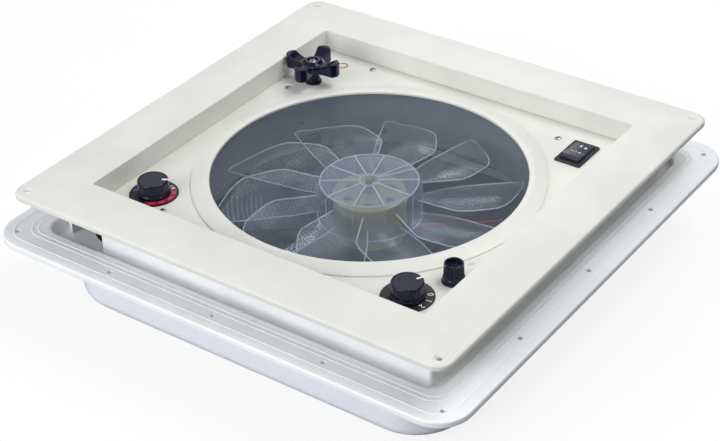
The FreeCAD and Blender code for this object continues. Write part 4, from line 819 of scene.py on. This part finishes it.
def make_rocker():
    """The rocker switch: a bevelled bezel and a shallow V button with two plain icons."""
    low, high = span("rocker_housing")
    bezel = loft([square_outline(12.25, 1.5, PANEL_TOP, 18.25),
                  square_outline(12.25, 1.5, high.z - 0.9, 18.25),
                  square_outline(11.5, 1.2, high.z, 17.5)])
    well = box(-9, 9, -15.1, 15.1, high.z - 14, high.z + 1)
    piece("rocker_bezel", bezel.at(*ROCKER), NYLON, "base", ["rocker_housing"],
          cut=well.at(*ROCKER), bevel=0.25)
    switch = box(-10.5, 10.5, -15.9, 15.9, low.z, PANEL_TOP)
    piece("rocker_switch_body", switch.at(*ROCKER), NYLON, "base",
          cut=well.at(*ROCKER), bevel=0.3)
    tilt = Matrix.Translation((*ROCKER, PANEL_TOP)) @ Matrix.Rotation(math.radians(-6), 4, "X")
    side = soften([(-14.2, -1, 0), (-14.2, 4.4, 0.4), (-13.2, 5, 0.5), (0, 3.2, 14), (13.2, 5, 0.5),
                   (14.2, 4.4, 0.4), (14.2, -1, 0), (0, -5.6, 0)], 5)
    button = loft([[(x, y, z) for y, z in side] for x in (-8.7, 8.7)])
    piece("rocker_button_moulding", button.through(tilt), BUTTON, "rocker",
          ["rocker_button"], bevel=0.4)
    chevron = box(-0.3, 0.3, 0, 3.6, 0, 0.1)
    loop = ring_part(0.7, 1.2, 0, 360, 0, 0.1)
    stroke = box(-2, 2, -0.3, 0.3, 0, 0.1)
    shapes = [(chevron.at(-1.6, 0, 0, -35), 0, 6.4), (chevron.at(0.5, 0, 0, 35), 0, 6.4), (loop, 4.2, 6.6),
              (stroke, -3.4, -3), (chevron.at(0, -0.6, 0, 20), 0.6, -3.6), (loop, 3.6, -3)]
    face_slope = 0.136
    icons = []
    for shape, x, y in shapes:
        rise = 3.5 + abs(y) * face_slope
        lean = Matrix.Rotation(math.copysign(math.atan(face_slope), y), 4, "X")
        icons.append(shape.through(tilt @ Matrix.Translation((x, y, rise)) @ lean))
    piece("rocker_icons", together(icons), WHITE_PRINT, "rocker")


def make_label_ring():
    """The small red ring printed beside the crank."""
    low, high = span("crank_label")
    x, y = middle("crank_label")
    ring = lathe([(3.8, low.z, 0), (5, low.z, 0), (5, high.z, 0), (3.8, high.z, 0)], 48)
    piece("crank_label_ring", ring.at(x, y), RED_PRINT, "base", ["crank_label"])


# -------------------------------------------------------------------------------------- studio
def make_camera():
    """The camera looks down at the front corner from its left, a little rolled."""
    azimuth, elevation, roll = (math.radians(a) for a in (35.95, 33.43, -1.485))
    target = Vector((51.67, -85.86, 106))
    back = Vector((math.sin(azimuth) * math.cos(elevation), -math.cos(azimuth) * math.cos(elevation),
                   math.sin(elevation)))
    right = Vector((math.cos(azimuth), math.sin(azimuth), 0))
    up = back.cross(right)
    across = math.cos(roll) * right + math.sin(roll) * up
    upward = -math.sin(roll) * right + math.cos(roll) * up
    turn = Matrix((across, upward, back)).transposed().to_4x4()
    camera = bpy.data.objects.new("camera", bpy.data.cameras.new("camera"))
    camera.matrix_world = Matrix.Translation((target + back * 1350.66) * MM) @ turn
    camera.data.sensor_width, camera.data.lens = 36, 87.27
    bpy.context.scene.collection.objects.link(camera)
    bpy.context.scene.camera = camera


def soft_light(name, place, size, power):
    """A square area light aimed at the object."""
    light = bpy.data.lights.new(name, "AREA")
    light.energy, light.size = power, size
    holder = bpy.data.objects.new(name, light)
    holder.location = place
    holder.rotation_mode = "QUATERNION"
    holder.rotation_quaternion = (Vector((0, 0, 0.06)) - Vector(place)).to_track_quat("-Z", "Y")
    bpy.context.scene.collection.objects.link(holder)


def direction_fill(nodes, links, brightest, low, high):
    """World light that is strongest from one direction and fades with the square to the opposite one."""
    place = nodes.new("ShaderNodeTexCoord")
    along = nodes.new("ShaderNodeVectorMath")
    along.operation = "DOT_PRODUCT"
    along.inputs[1].default_value = Vector(brightest).normalized()
    links.new(place.outputs["Generated"], along.inputs[0])
    share = nodes.new("ShaderNodeMapRange")
    share.inputs["From Min"].default_value = -1
    links.new(along.outputs["Value"], share.inputs["Value"])
    square = nodes.new("ShaderNodeMath")
    square.operation = "POWER"
    square.inputs[1].default_value = 2
    links.new(share.outputs["Result"], square.inputs[0])
    strength = nodes.new("ShaderNodeMapRange")
    strength.inputs["To Min"].default_value = low
    strength.inputs["To Max"].default_value = high
    links.new(square.outputs["Value"], strength.inputs["Value"])
    return strength.outputs["Result"]


def make_studio():
    """A white backdrop, a soft fill from the front left, five area lights and a thin pale floor."""
    world = bpy.data.worlds.new("studio")
    world.use_nodes = True
    bpy.context.scene.world = world
    nodes, links = world.node_tree.nodes, world.node_tree.links
    backdrop = nodes.new("ShaderNodeBackground")
    backdrop.inputs["Color"].default_value = (1, 1, 1, 1)
    path = nodes.new("ShaderNodeLightPath")
    mix = nodes.new("ShaderNodeMixShader")
    fill = nodes["Background"]
    fill.inputs["Color"].default_value = (0.92, 0.96, 1, 1)
    links.new(direction_fill(nodes, links, (-0.45, -0.72, 0.53), 0.03, 0.72), fill.inputs["Strength"])
    links.new(path.outputs["Is Camera Ray"], mix.inputs["Fac"])
    links.new(fill.outputs["Background"], mix.inputs[1])
    links.new(backdrop.outputs["Background"], mix.inputs[2])
    links.new(mix.outputs["Shader"], nodes["World Output"].inputs["Surface"])
    soft_light("key", (-0.6, -2.0, 0.8), 1.4, 28)
    soft_light("overhead", (0.38, 0.84, 1.7), 0.7, 11)
    soft_light("right", (1.0, 0.3, 1.9), 1.1, 15)
    soft_light("sheen", (-0.98, 1.35, 1.1), 1.5, 4)
    soft_light("window", (-0.56, 1.05, 0.52), 0.35, 0.7)
    mesh = bpy.data.meshes.new("floor")
    mesh.from_pydata([(-4, -4, 0), (4, -4, 0), (4, 4, 0), (-4, 4, 0)], [], [(0, 1, 2, 3)])
    floor = bpy.data.objects.new("floor", mesh)
    floor.location.z = -0.0004
    bpy.context.scene.collection.objects.link(floor)
    nodes = Nodes("floor_pale")
    nodes.link(nodes.ramp(nodes.noise(2), (0.3, (0.9, 0.9, 0.9, 1)), (0.7, (0.94, 0.94, 0.94, 1))),
               nodes.shader.inputs["Base Color"])
    nodes.set(Roughness=0.9, Alpha=0.15)
    mesh.materials.append(nodes.material)
    bpy.context.scene.view_settings.view_transform = "Standard"


make_camera()
make_studio()
finish_cad_nodes()
make_flange()
make_garnish()
make_screen()
make_duct()
make_coaming()
make_lid()
make_rotor()
make_panel_screws()
make_crank()
make_controls()
make_fuse()
make_rocker()
make_label_ring()
